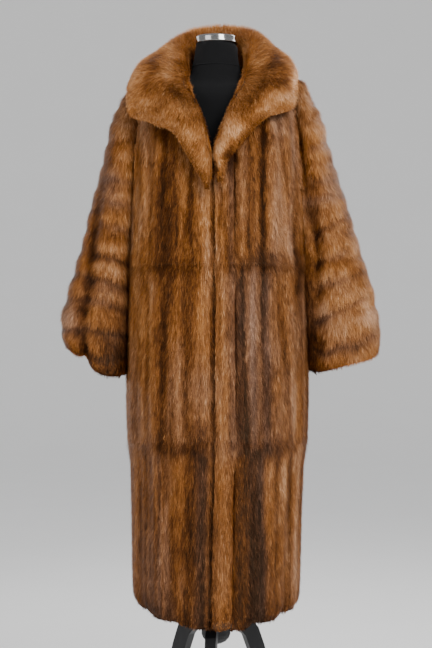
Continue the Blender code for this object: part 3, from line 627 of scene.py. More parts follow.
class Pile:
    """Grows strands on a pelt with a Geometry Nodes tree."""

    SIZES = ("Density", "Width", "Length", "Lift", "Spread", "Streak", "Streak Scale", "Glint")
    SINK = 0.12                     # how far a root lies under the pelt, as a share of the lift
    GLINT_POWER = 7.0               # the higher, the rarer the bright strands
    GLINT_LOSS = 0.03               # what every strand gives up in tone for them
    CLUMP_SCALE = 90.0              # how fine the tufts are
    CLUMP_SWAY = 0.45               # how far a tuft turns aside as one

    def __init__(self, material: bpy.types.Material) -> None:
        """Build the tree once; every piece grows its strands with it."""
        self.tree = bpy.data.node_groups.new("fur_pile", "GeometryNodeTree")
        self.tree.is_modifier = True
        self.material = material
        self.inputs: dict[str, str] = {}
        self._build()

    def _input(self, name: str, kind: str) -> None:
        """Add a named input."""
        socket = self.tree.interface.new_socket(name, in_out="INPUT", socket_type=kind)
        self.inputs[name] = socket.identifier

    def _node(self, kind: str, values: dict | None = None, **settings: object) -> bpy.types.Node:
        """Add a node.

        Args:
            kind: The node's type.
            values: Numbers, materials and sockets for its inputs.
            settings: The node's own settings.

        Returns:
            The node.
        """
        node = self.tree.nodes.new(kind)
        for key, value in settings.items():
            setattr(node, key, value)
        for key, value in (values or {}).items():
            if isinstance(value, bpy.types.NodeSocket):
                self.tree.links.new(value, node.inputs[key])
            else:
                node.inputs[key].default_value = value
        return node

    def _math(self, operation: str, *values: object) -> bpy.types.NodeSocket:
        """Add a Math node."""
        return self._node("ShaderNodeMath", dict(enumerate(values)), operation=operation).outputs[0]

    def _vector(self, operation: str, *values: object) -> bpy.types.NodeSocket:
        """Add a Vector Math node over two vectors."""
        return self._node("ShaderNodeVectorMath", dict(enumerate(values)), operation=operation).outputs[0]

    def _scaled(self, vector: bpy.types.NodeSocket, scale: bpy.types.NodeSocket) -> bpy.types.NodeSocket:
        """Add a node that scales a vector."""
        return self._node("ShaderNodeVectorMath", {0: vector, 3: scale}, operation="SCALE").outputs[0]

    def _field(self, name: str, kind: str = "FLOAT") -> bpy.types.NodeSocket:
        """Read a named attribute."""
        return self._node("GeometryNodeInputNamedAttribute", {"Name": name}, data_type=kind).outputs[0]

    def _random(self, chance: Chance) -> bpy.types.NodeSocket:
        """Add a random value for each strand.

        Args:
            chance: Its limits and its seed.

        Returns:
            The value's socket.
        """
        low, high, seed = chance.value
        node = self._node("FunctionNodeRandomValue", data_type="FLOAT")
        shown = [socket for socket in node.inputs if socket.enabled]
        for socket, value in zip(shown, (low, high)):
            socket.default_value = value
        node.inputs["Seed"].default_value = seed
        return next(socket for socket in node.outputs if socket.enabled)

    def _keep(
        self, geometry: bpy.types.NodeSocket, name: str, value: bpy.types.NodeSocket
    ) -> bpy.types.NodeSocket:
        """Store a value on the geometry's points.

        Args:
            geometry: The geometry.
            name: The value's name.
            value: What is stored.

        Returns:
            The geometry with the value on it.
        """
        return self._node(
            "GeometryNodeStoreNamedAttribute",
            {"Geometry": geometry, "Name": name, "Value": value},
            data_type="FLOAT", domain="POINT",
        ).outputs[0]

    def _stepped(self, value: bpy.types.NodeSocket, levels: int) -> bpy.types.NodeSocket:
        """Hold a value between 0 and 1 and round it to one of a number of levels."""
        held = self._math("MINIMUM", self._math("MAXIMUM", value, 0.0), 1.0)
        last = float(levels - 1)
        return self._math("DIVIDE", self._math("ROUND", self._math("MULTIPLY", held, last)), last)

    def _blade(self) -> bpy.types.NodeSocket:
        """Return one strand: a pointed blade of unit length along +Y that rises as it goes."""
        grid = self._node(
            "GeometryNodeMeshGrid", {"Size X": 1.0, "Size Y": 1.0, "Vertices X": 2, "Vertices Y": 2}
        ).outputs[0]
        place = self._node("ShaderNodeSeparateXYZ", {0: self._node("GeometryNodeInputPosition").outputs[0]})
        along = self._math("ADD", place.outputs[1], 0.5)
        grid = self._keep(grid, "along", along)
        grid = self._keep(grid, "side", self._math("ADD", place.outputs[0], 0.5))
        taper = self._math("SUBTRACT", 1.0, along)
        rise = self._math("SUBTRACT", self._math("MULTIPLY", along, 1.0 + self.SINK), self.SINK)
        bent = self._node("ShaderNodeCombineXYZ", {
            0: self._math("MULTIPLY", place.outputs[0], taper), 1: along, 2: rise}).outputs[0]
        moved = self._node("GeometryNodeSetPosition", {"Geometry": grid, "Position": bent}).outputs[0]
        return self._node("GeometryNodeMergeByDistance", {"Geometry": moved, "Distance": 0.001}).outputs[0]

    def _shades(self, given: bpy.types.bpy_prop_collection) -> tuple[bpy.types.NodeSocket, ...]:
        """Work out the colour of each strand.

        Args:
            given: The tree's inputs.

        Returns:
            The tone's socket and the coolness's.
        """
        fine = self._node("ShaderNodeTexNoise", {
            "Vector": self._field("grain", "FLOAT_VECTOR"), "Scale": given["Streak Scale"],
            "Detail": 2.0, "Roughness": 0.6}).outputs[0]
        streak = self._math("MULTIPLY", self._math("SUBTRACT", fine, 0.5), given["Streak"])
        tone = self._math("ADD", self._field("tone"), streak)
        tone = self._math("ADD", tone, self._random(Chance.TONE))
        glint = self._math("POWER", self._random(Chance.GLINT), self.GLINT_POWER)
        glint = self._math("MULTIPLY_ADD", glint, given["Glint"], -self.GLINT_LOSS)
        tone = self._math("ADD", tone, glint)
        cool = self._math("ADD", self._field("cool"), self._random(Chance.COOL))
        return self._stepped(tone, TONE_LEVELS), self._stepped(cool, COOL_LEVELS)

    def _turn(self, given: bpy.types.bpy_prop_collection) -> bpy.types.NodeSocket:
        """Work out how each strand is turned.

        Args:
            given: The tree's inputs.

        Returns:
            The rotation's socket.
        """
        rise, flow = self._field("rise", "FLOAT_VECTOR"), self._field("flow", "FLOAT_VECTOR")
        aside = self._vector("CROSS_PRODUCT", rise, flow)
        swing = self._math("MULTIPLY", self._random(Chance.SWING), given["Spread"])
        clump = self._node("ShaderNodeTexNoise", {
            "Vector": self._field("grain", "FLOAT_VECTOR"), "Scale": self.CLUMP_SCALE, "Detail": 1.0})
        sway = self._math("MULTIPLY", self._math("SUBTRACT", clump.outputs[0], 0.5), self.CLUMP_SWAY)
        way = self._vector("ADD", flow, self._scaled(aside, self._math("ADD", swing, sway)))
        lean = self._scaled(flow, self._random(Chance.LEAN))
        roll = self._scaled(aside, self._random(Chance.ROLL))
        up = self._vector("ADD", self._vector("ADD", rise, lean), roll)
        return self._node("FunctionNodeAxesToRotation", {0: up, 1: way},
                          primary_axis="Z", secondary_axis="Y").outputs[0]

    def _size(self, given: bpy.types.bpy_prop_collection) -> bpy.types.NodeSocket:
        """Work out how wide, long and high each strand is.

        Args:
            given: The tree's inputs.

        Returns:
            The scale's socket.
        """
        long_share = self._math("MULTIPLY", self._random(Chance.LENGTH), self._field("pile"))
        high_share = self._math("MULTIPLY", self._random(Chance.LIFT), self._field("swell"))
        return self._node("ShaderNodeCombineXYZ", {
            0: self._math("MULTIPLY", given["Width"], self._random(Chance.WIDTH)),
            1: self._math("MULTIPLY", given["Length"], long_share),
            2: self._math("MULTIPLY", given["Lift"], high_share)}).outputs[0]

    def _build(self) -> None:
        """Build the tree: scatter points on the pelt and set a strand on each."""
        self._input("Pelt", "NodeSocketGeometry")
        for name in self.SIZES:
            self._input(name, "NodeSocketFloat")
        self._input("Seed", "NodeSocketInt")
        self.tree.interface.new_socket("Pile", in_out="OUTPUT", socket_type="NodeSocketGeometry")
        given = self.tree.nodes.new("NodeGroupInput").outputs
        density = self._math("MULTIPLY", given["Density"], self._field("cover"))
        points = self._node(
            "GeometryNodeDistributePointsOnFaces",
            {"Mesh": given["Pelt"], "Density": density, "Seed": given["Seed"]},
        ).outputs["Points"]
        for name, value in zip(("tone", "cool"), self._shades(given)):
            points = self._keep(points, name, value)
        strands = self._node("GeometryNodeInstanceOnPoints", {
            "Points": points, "Instance": self._blade(), "Rotation": self._turn(given),
            "Scale": self._size(given)})
        real = self._node("GeometryNodeRealizeInstances", {"Geometry": strands.outputs[0]}).outputs[0]
        shaded = self._node("GeometryNodeSetShadeSmooth", {"Geometry": real}).outputs[0]
        done = self._node("GeometryNodeSetMaterial", {"Geometry": shaded, "Material": self.material})
        out = self.tree.nodes.new("NodeGroupOutput")
        self.tree.links.new(done.outputs[0], out.inputs[0])

    def grow(self, pelt: bpy.types.Object, name: str, sizes: dict[str, float | int]) -> bpy.types.Object:
        """Grow the strands of one pelt.

        Args:
            pelt: The pelt, with its fields stored on its vertices.
            name: The new piece's name.
            sizes: The tree's inputs by name.

        Returns:
            The strands as a plain mesh object.
        """
        holder = link(f"{name}_holder", pelt.data.copy())
        growing = holder.modifiers.new("pile", "NODES")
        growing.node_group = self.tree
        for key, value in sizes.items():
            growing[self.inputs[key]] = value
        mesh = evaluated_mesh(holder)
        bpy.data.objects.remove(holder)
        mesh.name = name
        mesh.materials.clear()
        mesh.materials.append(self.material)
        lay_out(mesh)
        return link(name, mesh)


def lay_out(mesh: bpy.types.Mesh) -> None:
    """Give strands a UV map in which a strand's place says its tone, and its height its length.

    Args:
        mesh: The strands.
    """
    tone = np.round(read(mesh, "tone") * (TONE_LEVELS - 1))
    cool = np.round(read(mesh, "cool") * (COOL_LEVELS - 1))
    along = read(mesh, "along")
    side = np.where(along > 0.99, 0.5, read(mesh, "side"))       # the tip is in the middle
    # A strand keeps clear of its cell's borders, so that its neighbours' colours stay out of it.
    across = (tone + 0.25 + 0.5 * side) / TONE_LEVELS
    up = (cool + 0.08 + 0.84 * along) / COOL_LEVELS
    corners = np.zeros(len(mesh.loops), np.int32)
    mesh.loops.foreach_get("vertex_index", corners)
    places = np.stack([across[corners], up[corners]], axis=1).astype(np.float32)
    layer = mesh.uv_layers.new(name="OFBake")
    layer.uv.foreach_set("vector", places.ravel())


# ---------------------------------------------------------------- the coat
@dataclass(frozen=True)
class Stripe:
    """An upright streak of a tier. Wide ones are the skins' own darker backs and paler flanks; a narrow
    dark one is painted shade in a fold.

    Attributes:
        place: Its middle, right or left of the form's axis.
        half_width: Half its width.
        tone: How much paler it makes the fur; below 0, darker.
        cool: How much cooler it makes it.
        lean: How far it runs sideways for each metre up.
    """

    place: float
    half_width: float
    tone: float
    cool: float = 0.0
    lean: float = 0.0


@dataclass(frozen=True)
class Band:
    """A dark band across a sleeve: painted shade in the crease between two bands of fur.

    Attributes:
        height: Its height at one place.
        place: That place, beside the form's axis.
        slope: How far it rises for each metre sideways.
        start: Where it begins.
        end: Where it ends.
        tone: How much paler it makes the fur; below 0, darker.
        cool: How much cooler it makes it.
        half_width: Half its width.
    """

    height: float
    place: float
    slope: float
    start: float
    end: float
    tone: float = -0.20
    cool: float = 0.35
    half_width: float = 0.0085


@dataclass(frozen=True)
class Patch:
    """A soft spot of another tone; some are painted shadow where one part of the coat shades another, and
    some painted light.

    Attributes:
        place: Its middle, beside the form's axis.
        height: Its middle's height.
        wide: How far it reaches sideways.
        high: How far it reaches up and down.
        tone: How much paler it makes the fur; below 0, darker.
        cool: How much cooler it makes it.
    """

    place: float
    height: float
    wide: float
    high: float
    tone: float
    cool: float = 0.0


@dataclass(frozen=True)
class Tier:
    """One of the rings of skins that the body is made up of.

    Attributes:
        stripes: Its streaks in front.
        middle: The height at which a leaning streak has its place.
        cool: How cool its fur is.
    """

    stripes: tuple[Stripe, ...]
    middle: float
    cool: float


@dataclass(frozen=True)
class Skins:
    """What every panel of the coat shares.

    Attributes:
        axis: The form's axis on the floor.
        underfur: Finish of a pelt's fur side.
        hide: Finish of its plain inner side.
        pile: What grows its strands.
    """

    axis: Vector
    underfur: bpy.types.Material
    hide: bpy.types.Material
    pile: Pile


@dataclass(frozen=True)
class Spots:
    """The points of a pelt before it is moved.

    Attributes:
        axis: The form's axis on the floor.
        points: Where they are.
        normals: Which way the pelt faces at each.
    """

    axis: Vector
    points: Points
    normals: Points

    @property
    def beside(self) -> np.ndarray:
        """Return how far each point lies right or left of the axis."""
        return self.points[:, 0] - self.axis.x

    @property
    def behind(self) -> np.ndarray:
        """Return how far each point lies behind the axis."""
        return self.points[:, 1] - self.axis.y

    @property
    def height(self) -> np.ndarray:
        """Return the height of each point."""
        return self.points[:, 2]

    @property
    def bearing(self) -> np.ndarray:
        """Return the direction of each point from the axis, in degrees from straight in front."""
        return np.degrees(np.arctan2(self.beside, -self.behind))


def records(kind: type, *numbers: tuple[float, ...]) -> tuple:
    """Return one record of a kind for each row of numbers."""
    return tuple(kind(*row) for row in numbers)


def patched(patches: tuple[Patch, ...], beside: np.ndarray, height: np.ndarray) -> Shades:
    """Add up soft spots.

    Args:
        patches: The spots.
        beside: How far each point lies beside the axis.
        height: How high it lies.

    Returns:
        The tone and the coolness that the spots add.
    """
    tone, cool = np.zeros_like(beside), np.zeros_like(beside)
    for patch in patches:
        share = np.exp(-((beside - patch.place) / patch.wide) ** 2
                       - ((height - patch.height) / patch.high) ** 2)
        tone += patch.tone * share
        cool += patch.cool * share
    return tone, cool


def streaked(stripes: tuple[Stripe, ...], beside: np.ndarray, above: np.ndarray) -> Shades:
    """Add up upright streaks.

    Args:
        stripes: The streaks.
        beside: How far each point lies beside the axis.
        above: How far it lies over its tier's middle.

    Returns:
        The tone and the coolness that the streaks add.
    """
    tone, cool = np.zeros_like(beside), np.zeros_like(beside)
    for stripe in stripes:
        away = beside - stripe.place - stripe.lean * above
        share = bell(away, 0.0, STRIPE_SOFTNESS * stripe.half_width)
        tone += stripe.tone * share
        cool += stripe.cool * share
    return tone, cool


STRIPE_SOFTNESS = 0.85          # reach of a streak's falling off, as a share of its half width
# Soft spots on the body's front; some are painted shadow under the lapels and between the sleeve and the
# body, and some painted light under the lapel at -X.
BODY_SPOTS_SHADE_AND_LIGHT = records(
    Patch,
    (0.115, 1.13, 0.03, 0.026, -0.3), (-0.158, 1.17, 0.01, 0.04, -0.16),
    (-0.1065, 1.25, 0.01, 0.03, 0.16), (0.178, 1.09, 0.01, 0.06, -0.34),
    (-0.094, 1.06, 0.01, 0.04, -0.18), (-0.157, 0.99, 0.013, 0.055, 0.26),
    (-0.13, 0.945, 0.01, 0.04, -0.12), (0.026, 0.98, 0.018, 0.05, -0.12),
    (0.104, 1.07, 0.014, 0.05, -0.2), (0.072, 1.04, 0.008, 0.05, -0.12),
    (-0.001, 0.82, 0.006, 0.045, 0.15), (0.0665, 0.775, 0.014, 0.05, -0.26),
    (-0.03, 0.745, 0.018, 0.035, -0.26), (-0.178, 0.77, 0.012, 0.05, -0.16),
    (0.176, 0.8, 0.008, 0.08, 0.25), (-0.145, 0.73, 0.01, 0.02, -0.12),
    (0.136, 0.735, 0.03, 0.02, -0.16), (0.009, 0.6, 0.008, 0.13, -0.16),
    (-0.045, 0.52, 0.014, 0.05, -0.15), (-0.094, 0.6, 0.01, 0.06, 0.14),
    (0.105, 0.46, 0.016, 0.075, -0.22), (0.136, 0.695, 0.01, 0.018, -0.26),
    (0.149, 0.645, 0.007, 0.04, 0.24), (0.032, 1.338, 0.018, 0.018, -0.34),
    (0.11, 1.395, 0.018, 0.012, -0.34), (-0.113, 1.36, 0.012, 0.03, 0.24),
    (-0.16, 1.37, 0.014, 0.04, -0.18), (0.028, 0.916, 0.01, 0.01, 0.16),
    (-0.06, 1.3, 0.012, 0.03, 0.1, -0.2), (-0.165, 1.32, 0.016, 0.06, -0.12, -0.3),
)
# Where a streak here is narrow and dark it is painted shade in a fold, which the pelt is also drawn in
# along.
UPPER_STRIPES = records(
    Stripe,
    (-0.17, 0.02, 0.17), (-0.151, 0.01, 0.08), (-0.128, 0.018, -0.16, -0.4),
    (-0.111, 0.012, -0.22, -0.5), (-0.118, 0.003, -0.12, -0.2), (-0.092, 0.012, -0.16, -0.5),
    (-0.0905, 0.0025, -0.16, -0.2, -0.07), (-0.071, 0.008, 0.06, -0.3), (-0.054, 0.008, -0.24, -0.4),
    (-0.049, 0.003, -0.12, 0.0, -0.12), (-0.021, 0.022, 0.2, 0.2), (0.008, 0.0028, -0.26, 0.0, -0.1),
    (0.018, 0.006, 0.09), (0.032, 0.009, -0.1, 0.4), (0.0395, 0.0025, -0.14), (0.055, 0.01, 0.12),
    (0.07, 0.0025, -0.14), (0.077, 0.012, -0.1, -0.2), (0.1, 0.009, -0.3, -0.2), (0.1015, 0.003, -0.14),
    (0.135, 0.024, 0.17, 0.4), (0.156, 0.003, -0.2, 0.0, -0.125), (0.165, 0.008, 0.1, 0.4),
    (0.176, 0.005, -0.1),
)
MIDDLE_STRIPES = records(
    Stripe,
    (-0.172, 0.014, 0.1), (-0.143, 0.008, 0.13), (-0.117, 0.012, -0.24, -0.4), (-0.118, 0.004, -0.08),
    (-0.094, 0.006, -0.08, -0.1), (-0.08, 0.01, 0.04), (-0.06, 0.016, -0.13, -0.1),
    (-0.026, 0.016, 0.09), (0.011, 0.014, 0.15), (0.034, 0.008, -0.08, 0.2), (0.053, 0.01, -0.2, 0.2),
    (0.06, 0.004, -0.22, 0.0, -0.03), (0.081, 0.012, 0.07, 0.5), (0.101, 0.0028, -0.1),
    (0.108, 0.012, -0.12, 0.5), (0.13, 0.01, 0.06), (0.148, 0.0028, -0.17, 0.0, -0.1),
    (0.158, 0.01, 0.05), (0.172, 0.01, 0.08), (0.19, 0.006, -0.06),
)
LOWER_STRIPES = records(
    Stripe,
    (-0.176, 0.01, 0.04), (-0.153, 0.003, -0.16), (-0.14, 0.008, 0.05, 0.3),
    (-0.123, 0.005, -0.05, 0.5), (-0.106, 0.01, 0.06, 0.3), (-0.083, 0.012, 0.08, -0.2),
    (-0.058, 0.01, -0.18, -0.4), (-0.031, 0.016, -0.26, 0.45), (0.008, 0.014, 0.17), (0.03, 0.01, 0.03),
    (0.053, 0.012, -0.22, -0.2), (0.064, 0.003, -0.12), (0.078, 0.012, -0.24, 0.5),
    (0.096, 0.01, -0.16, 0.8), (0.128, 0.016, 0.05), (0.1535, 0.002, 0.2), (0.146, 0.01, 0.1),
    (0.162, 0.005, -0.05), (0.176, 0.012, 0.24, 0.2),
)
# Painted shade under the seams in front: place, half width and how dark.
LOWER_SEAM_SHADE = records(
    Stripe,
    (-0.064, 0.05, -0.24), (0.108, 0.036, -0.22), (-0.15, 0.02, -0.1),
)
UPPER_SEAM_SHADE = records(
    Stripe,
    (0.032, 0.026, -0.14), (-0.11, 0.04, -0.05), (0.13, 0.03, -0.05),
)
TIERS = (                       # from the hem up
    Tier(LOWER_STRIPES, 0.52, 0.18), Tier(MIDDLE_STRIPES, 0.92, 0.28), Tier(UPPER_STRIPES, 1.26, 0.14),
)
CLOSING_LOOSE = (0.38, 0.72)    # heights between which the closing edge loosens towards the hem
SKIN_ANGLE = 15.0               # width of a skin away from the front, in degrees
TUCK_FILL = (                   # over a tiers' seam, and how far its tuck is filled there
    (-0.038, 0.0), (0.0, 0.0076), (0.005, 0.0086), (0.0078, 0.0036), (0.026, 0.0),
)
HEM_LINE = (                    # beside the axis, and how far the hem is lowered there
    (-0.200, 0.000), (-0.110, 0.000), (-0.092, 0.000), (-0.076, 0.003), (-0.040, 0.005),
    (-0.010, -0.002), (0.004, -0.003), (0.022, -0.009), (0.036, -0.010), (0.052, 0.002),
    (0.066, 0.004), (0.080, -0.001), (0.110, 0.001), (0.140, 0.001), (0.200, 0.000),
)


@dataclass
class FurPanel:
    """One panel of the coat: the pelt and the pile on it.

    Attributes:
        node: The node that the panel stands for.
        flat: Width and length of the cut, in metres; not used.
        area: The cut's flat area; not used.
        rests_on: What carries the panel; not used.
        strands: How many strands grow on it.
        length: A strand's length.
        width: A strand's width at its root.
        lift: How far a strand rises over the pelt.
        spread: How far the strands' directions differ.
        inset: How far the pelt's outer side lies inside the solid.
        hold: Share of the solid's sharpness that the pelt keeps.
        seed: Seed of everything random on the panel.
        levels: How many times the pelt is made finer.
        soften: Share of the solid's lumps that is taken off.
        streak: How much the fine streaks change the tone.
        glint: How much paler the brightest strands are.
        streak_scale: How fine the streaks are.
        stretch: Scale of the fine streaks along each axis; the hair lies along the smallest.
    """

    node: str
    flat: tuple[float, float]
    area: float
    rests_on: tuple[str, ...]
    strands: int
    length: float = 0.017
    width: float = 0.00125
    lift: float = 0.0056
    spread: float = 0.20
    inset: float = 0.0044
    hold: float = 0.8
    seed: int = 1
    levels: int = 2
    soften: float = 0.0
    streak: float = 0.85
    glint: float = 0.34
    streak_scale: float = 230.0
    stretch: Triple = (1.0, 1.0, 0.16)

    def outward(self, at: Spots) -> np.ndarray:
        """Return how far each point faces out: 1 on the fur side and below 0 on the hide side."""
        raise NotImplementedError

    def colour(self, at: Spots, relief: np.ndarray) -> Shades:
        """Return the tone and the coolness of the fur at each point."""
        raise NotImplementedError

    def flow(self, at: Spots) -> Points:
        """Return the direction in which the hair lies: down, and in under the hem."""
        away = (at.points - np.array(at.axis)) * LEVEL
        return combed(DOWN - self.under(at.normals) * unit(away), at.normals)

    @staticmethod
    def under(normals: Points) -> Points:
        """Return how far each point lies on an edge that faces the floor."""
        return 1.2 * ramp(-normals[:, 2:3], 0.25, 0.80)

    def reach(self, at: Spots) -> np.ndarray:
        """Return the share of a strand's length at each point."""
        return np.ones(len(at.points))

    def swell(self, at: Spots, relief: np.ndarray) -> np.ndarray:
        """Return the share of a strand's rise at each point: more in a hollow, less on a crest."""
        return (1.0 - 0.30 * relief).clip(0.6, 1.9)

    def shift(self, at: Spots, cover: np.ndarray) -> Points:
        """Return how far the pelt is moved at each point."""
        raise NotImplementedError

    def blend(self, at: Spots) -> np.ndarray:
        """Return how far the pelt is smoothed at each point."""
        return np.zeros(len(at.points))

    def relief_of(
        self, at: Spots, ends: np.ndarray, cover: np.ndarray
    ) -> tuple[np.ndarray, np.ndarray]:
        """Measure how far the surface stands over what lies round it.

        Args:
            at: The pelt's points.
            ends: The two points of each edge.
            cover: Where there is fur.

        Returns:
            The lumps to be taken off, in metres, and the relief in its own measure.
        """
        rounds = 4 ** (self.levels - 1)
        relief = np.sum((at.points - relaxed(at.points, ends, 10 * rounds)) * at.normals, axis=1)
        relief = relaxed(relief[:, None], ends, rounds)[:, 0]
        furred = cover > FURRED
        lumps = (relief - np.median(relief[furred])).clip(-LUMP_LIMIT, LUMP_LIMIT)
        lumps = self.soften * cover * lumps
        return lumps, (relief / relief[furred].std()).clip(-2.5, 1.8)

    def make_pelt(self, skins: Skins) -> bpy.types.Object:
        """Make the pelt with the fields that its pile and its finish read.

        Args:
            skins: What the panels share.

        Returns:
            The pelt.
        """
        name = f"{self.node}_pelt"
        mesh = fine_copy(self.node, name, self.levels, hold=self.hold)
        points, normals, ends = coordinates(mesh), vertex_normals(mesh), edge_ends(mesh)
        rounds = 4 ** (self.levels - 1)
        rise = unit(relaxed(normals, ends, 2 * rounds))
        at = Spots(skins.axis, points, rise)
        outer = self.outward(Spots(skins.axis, points, normals))
        cover = ramp(outer, -FUR_EDGE, FUR_EDGE)
        lumps, relief = self.relief_of(at, ends, cover)
        even = self.blend(at).clip(0.0, 1.0)
        relief *= 1.0 - even
        tone, cool = self.colour(at, relief)
        moved = relaxed(self.shift(at, cover) - rise * lumps[:, None], ends, 1)
        placed = points - normals * (self.inset * cover)[:, None] + moved
        placed += even[:, None] * (relaxed(placed, ends, 3 * rounds) - placed)
        mesh.vertices.foreach_set("co", placed.astype(np.float32).ravel())
        mesh.update()
        at = Spots(skins.axis, points, unit(relaxed(vertex_normals(mesh), ends, 2 * rounds)))
        for field, values in (
            ("cover", cover), ("tone", tone.clip(0.02, 0.98)), ("cool", cool.clip(0.0, 1.0)),
            ("rise", at.normals), ("flow", self.flow(at)), ("grain", points * np.array(self.stretch)),
            ("pile", self.reach(at)), ("swell", self.swell(at, relief)),
        ):
            store(mesh, field, values)
        finish_mesh(mesh, skins.underfur, skins.hide)
        for face in mesh.polygons:
            facing = sum(outer[corner] for corner in face.vertices) / len(face.vertices)
            face.material_index = 1 if facing < HIDE_FACING else 0
        mesh.update()
        return link(name, mesh)

    def density(self, mesh: bpy.types.Mesh) -> float:
        """Return the strands for each covered square metre.

        Args:
            mesh: The pelt's mesh with its cover stored.

        Returns:
            How many strands there are to the square metre.
        """
        cover = read(mesh, "cover")
        covered = sum(
            face.area * sum(cover[corner] for corner in face.vertices) / len(face.vertices)
            for face in mesh.polygons
        )
        return self.strands / covered

    def dress(self, skins: Skins) -> None:
        """Make the panel and ride it on the body.

        Args:
            skins: What the panels share.
        """
        pelt = self.make_pelt(skins)
        fur = skins.pile.grow(pelt, f"{self.node}_fur", {
            "Density": self.density(pelt.data), "Width": self.width, "Length": self.length,
            "Lift": self.lift, "Spread": self.spread, "Streak": self.streak,
            "Streak Scale": self.streak_scale, "Glint": self.glint, "Seed": self.seed,
        })
        for name in ("flow", "rise", "grain", "pile", "swell"):
            pelt.data.attributes.remove(pelt.data.attributes[name])
        for piece in (pelt, fur):
            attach(piece, BODY)
            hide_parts(self.node)
        LOG.info("%s: pelt of %d faces, %d strand faces", self.node, len(pelt.data.polygons),
                 len(fur.data.polygons))


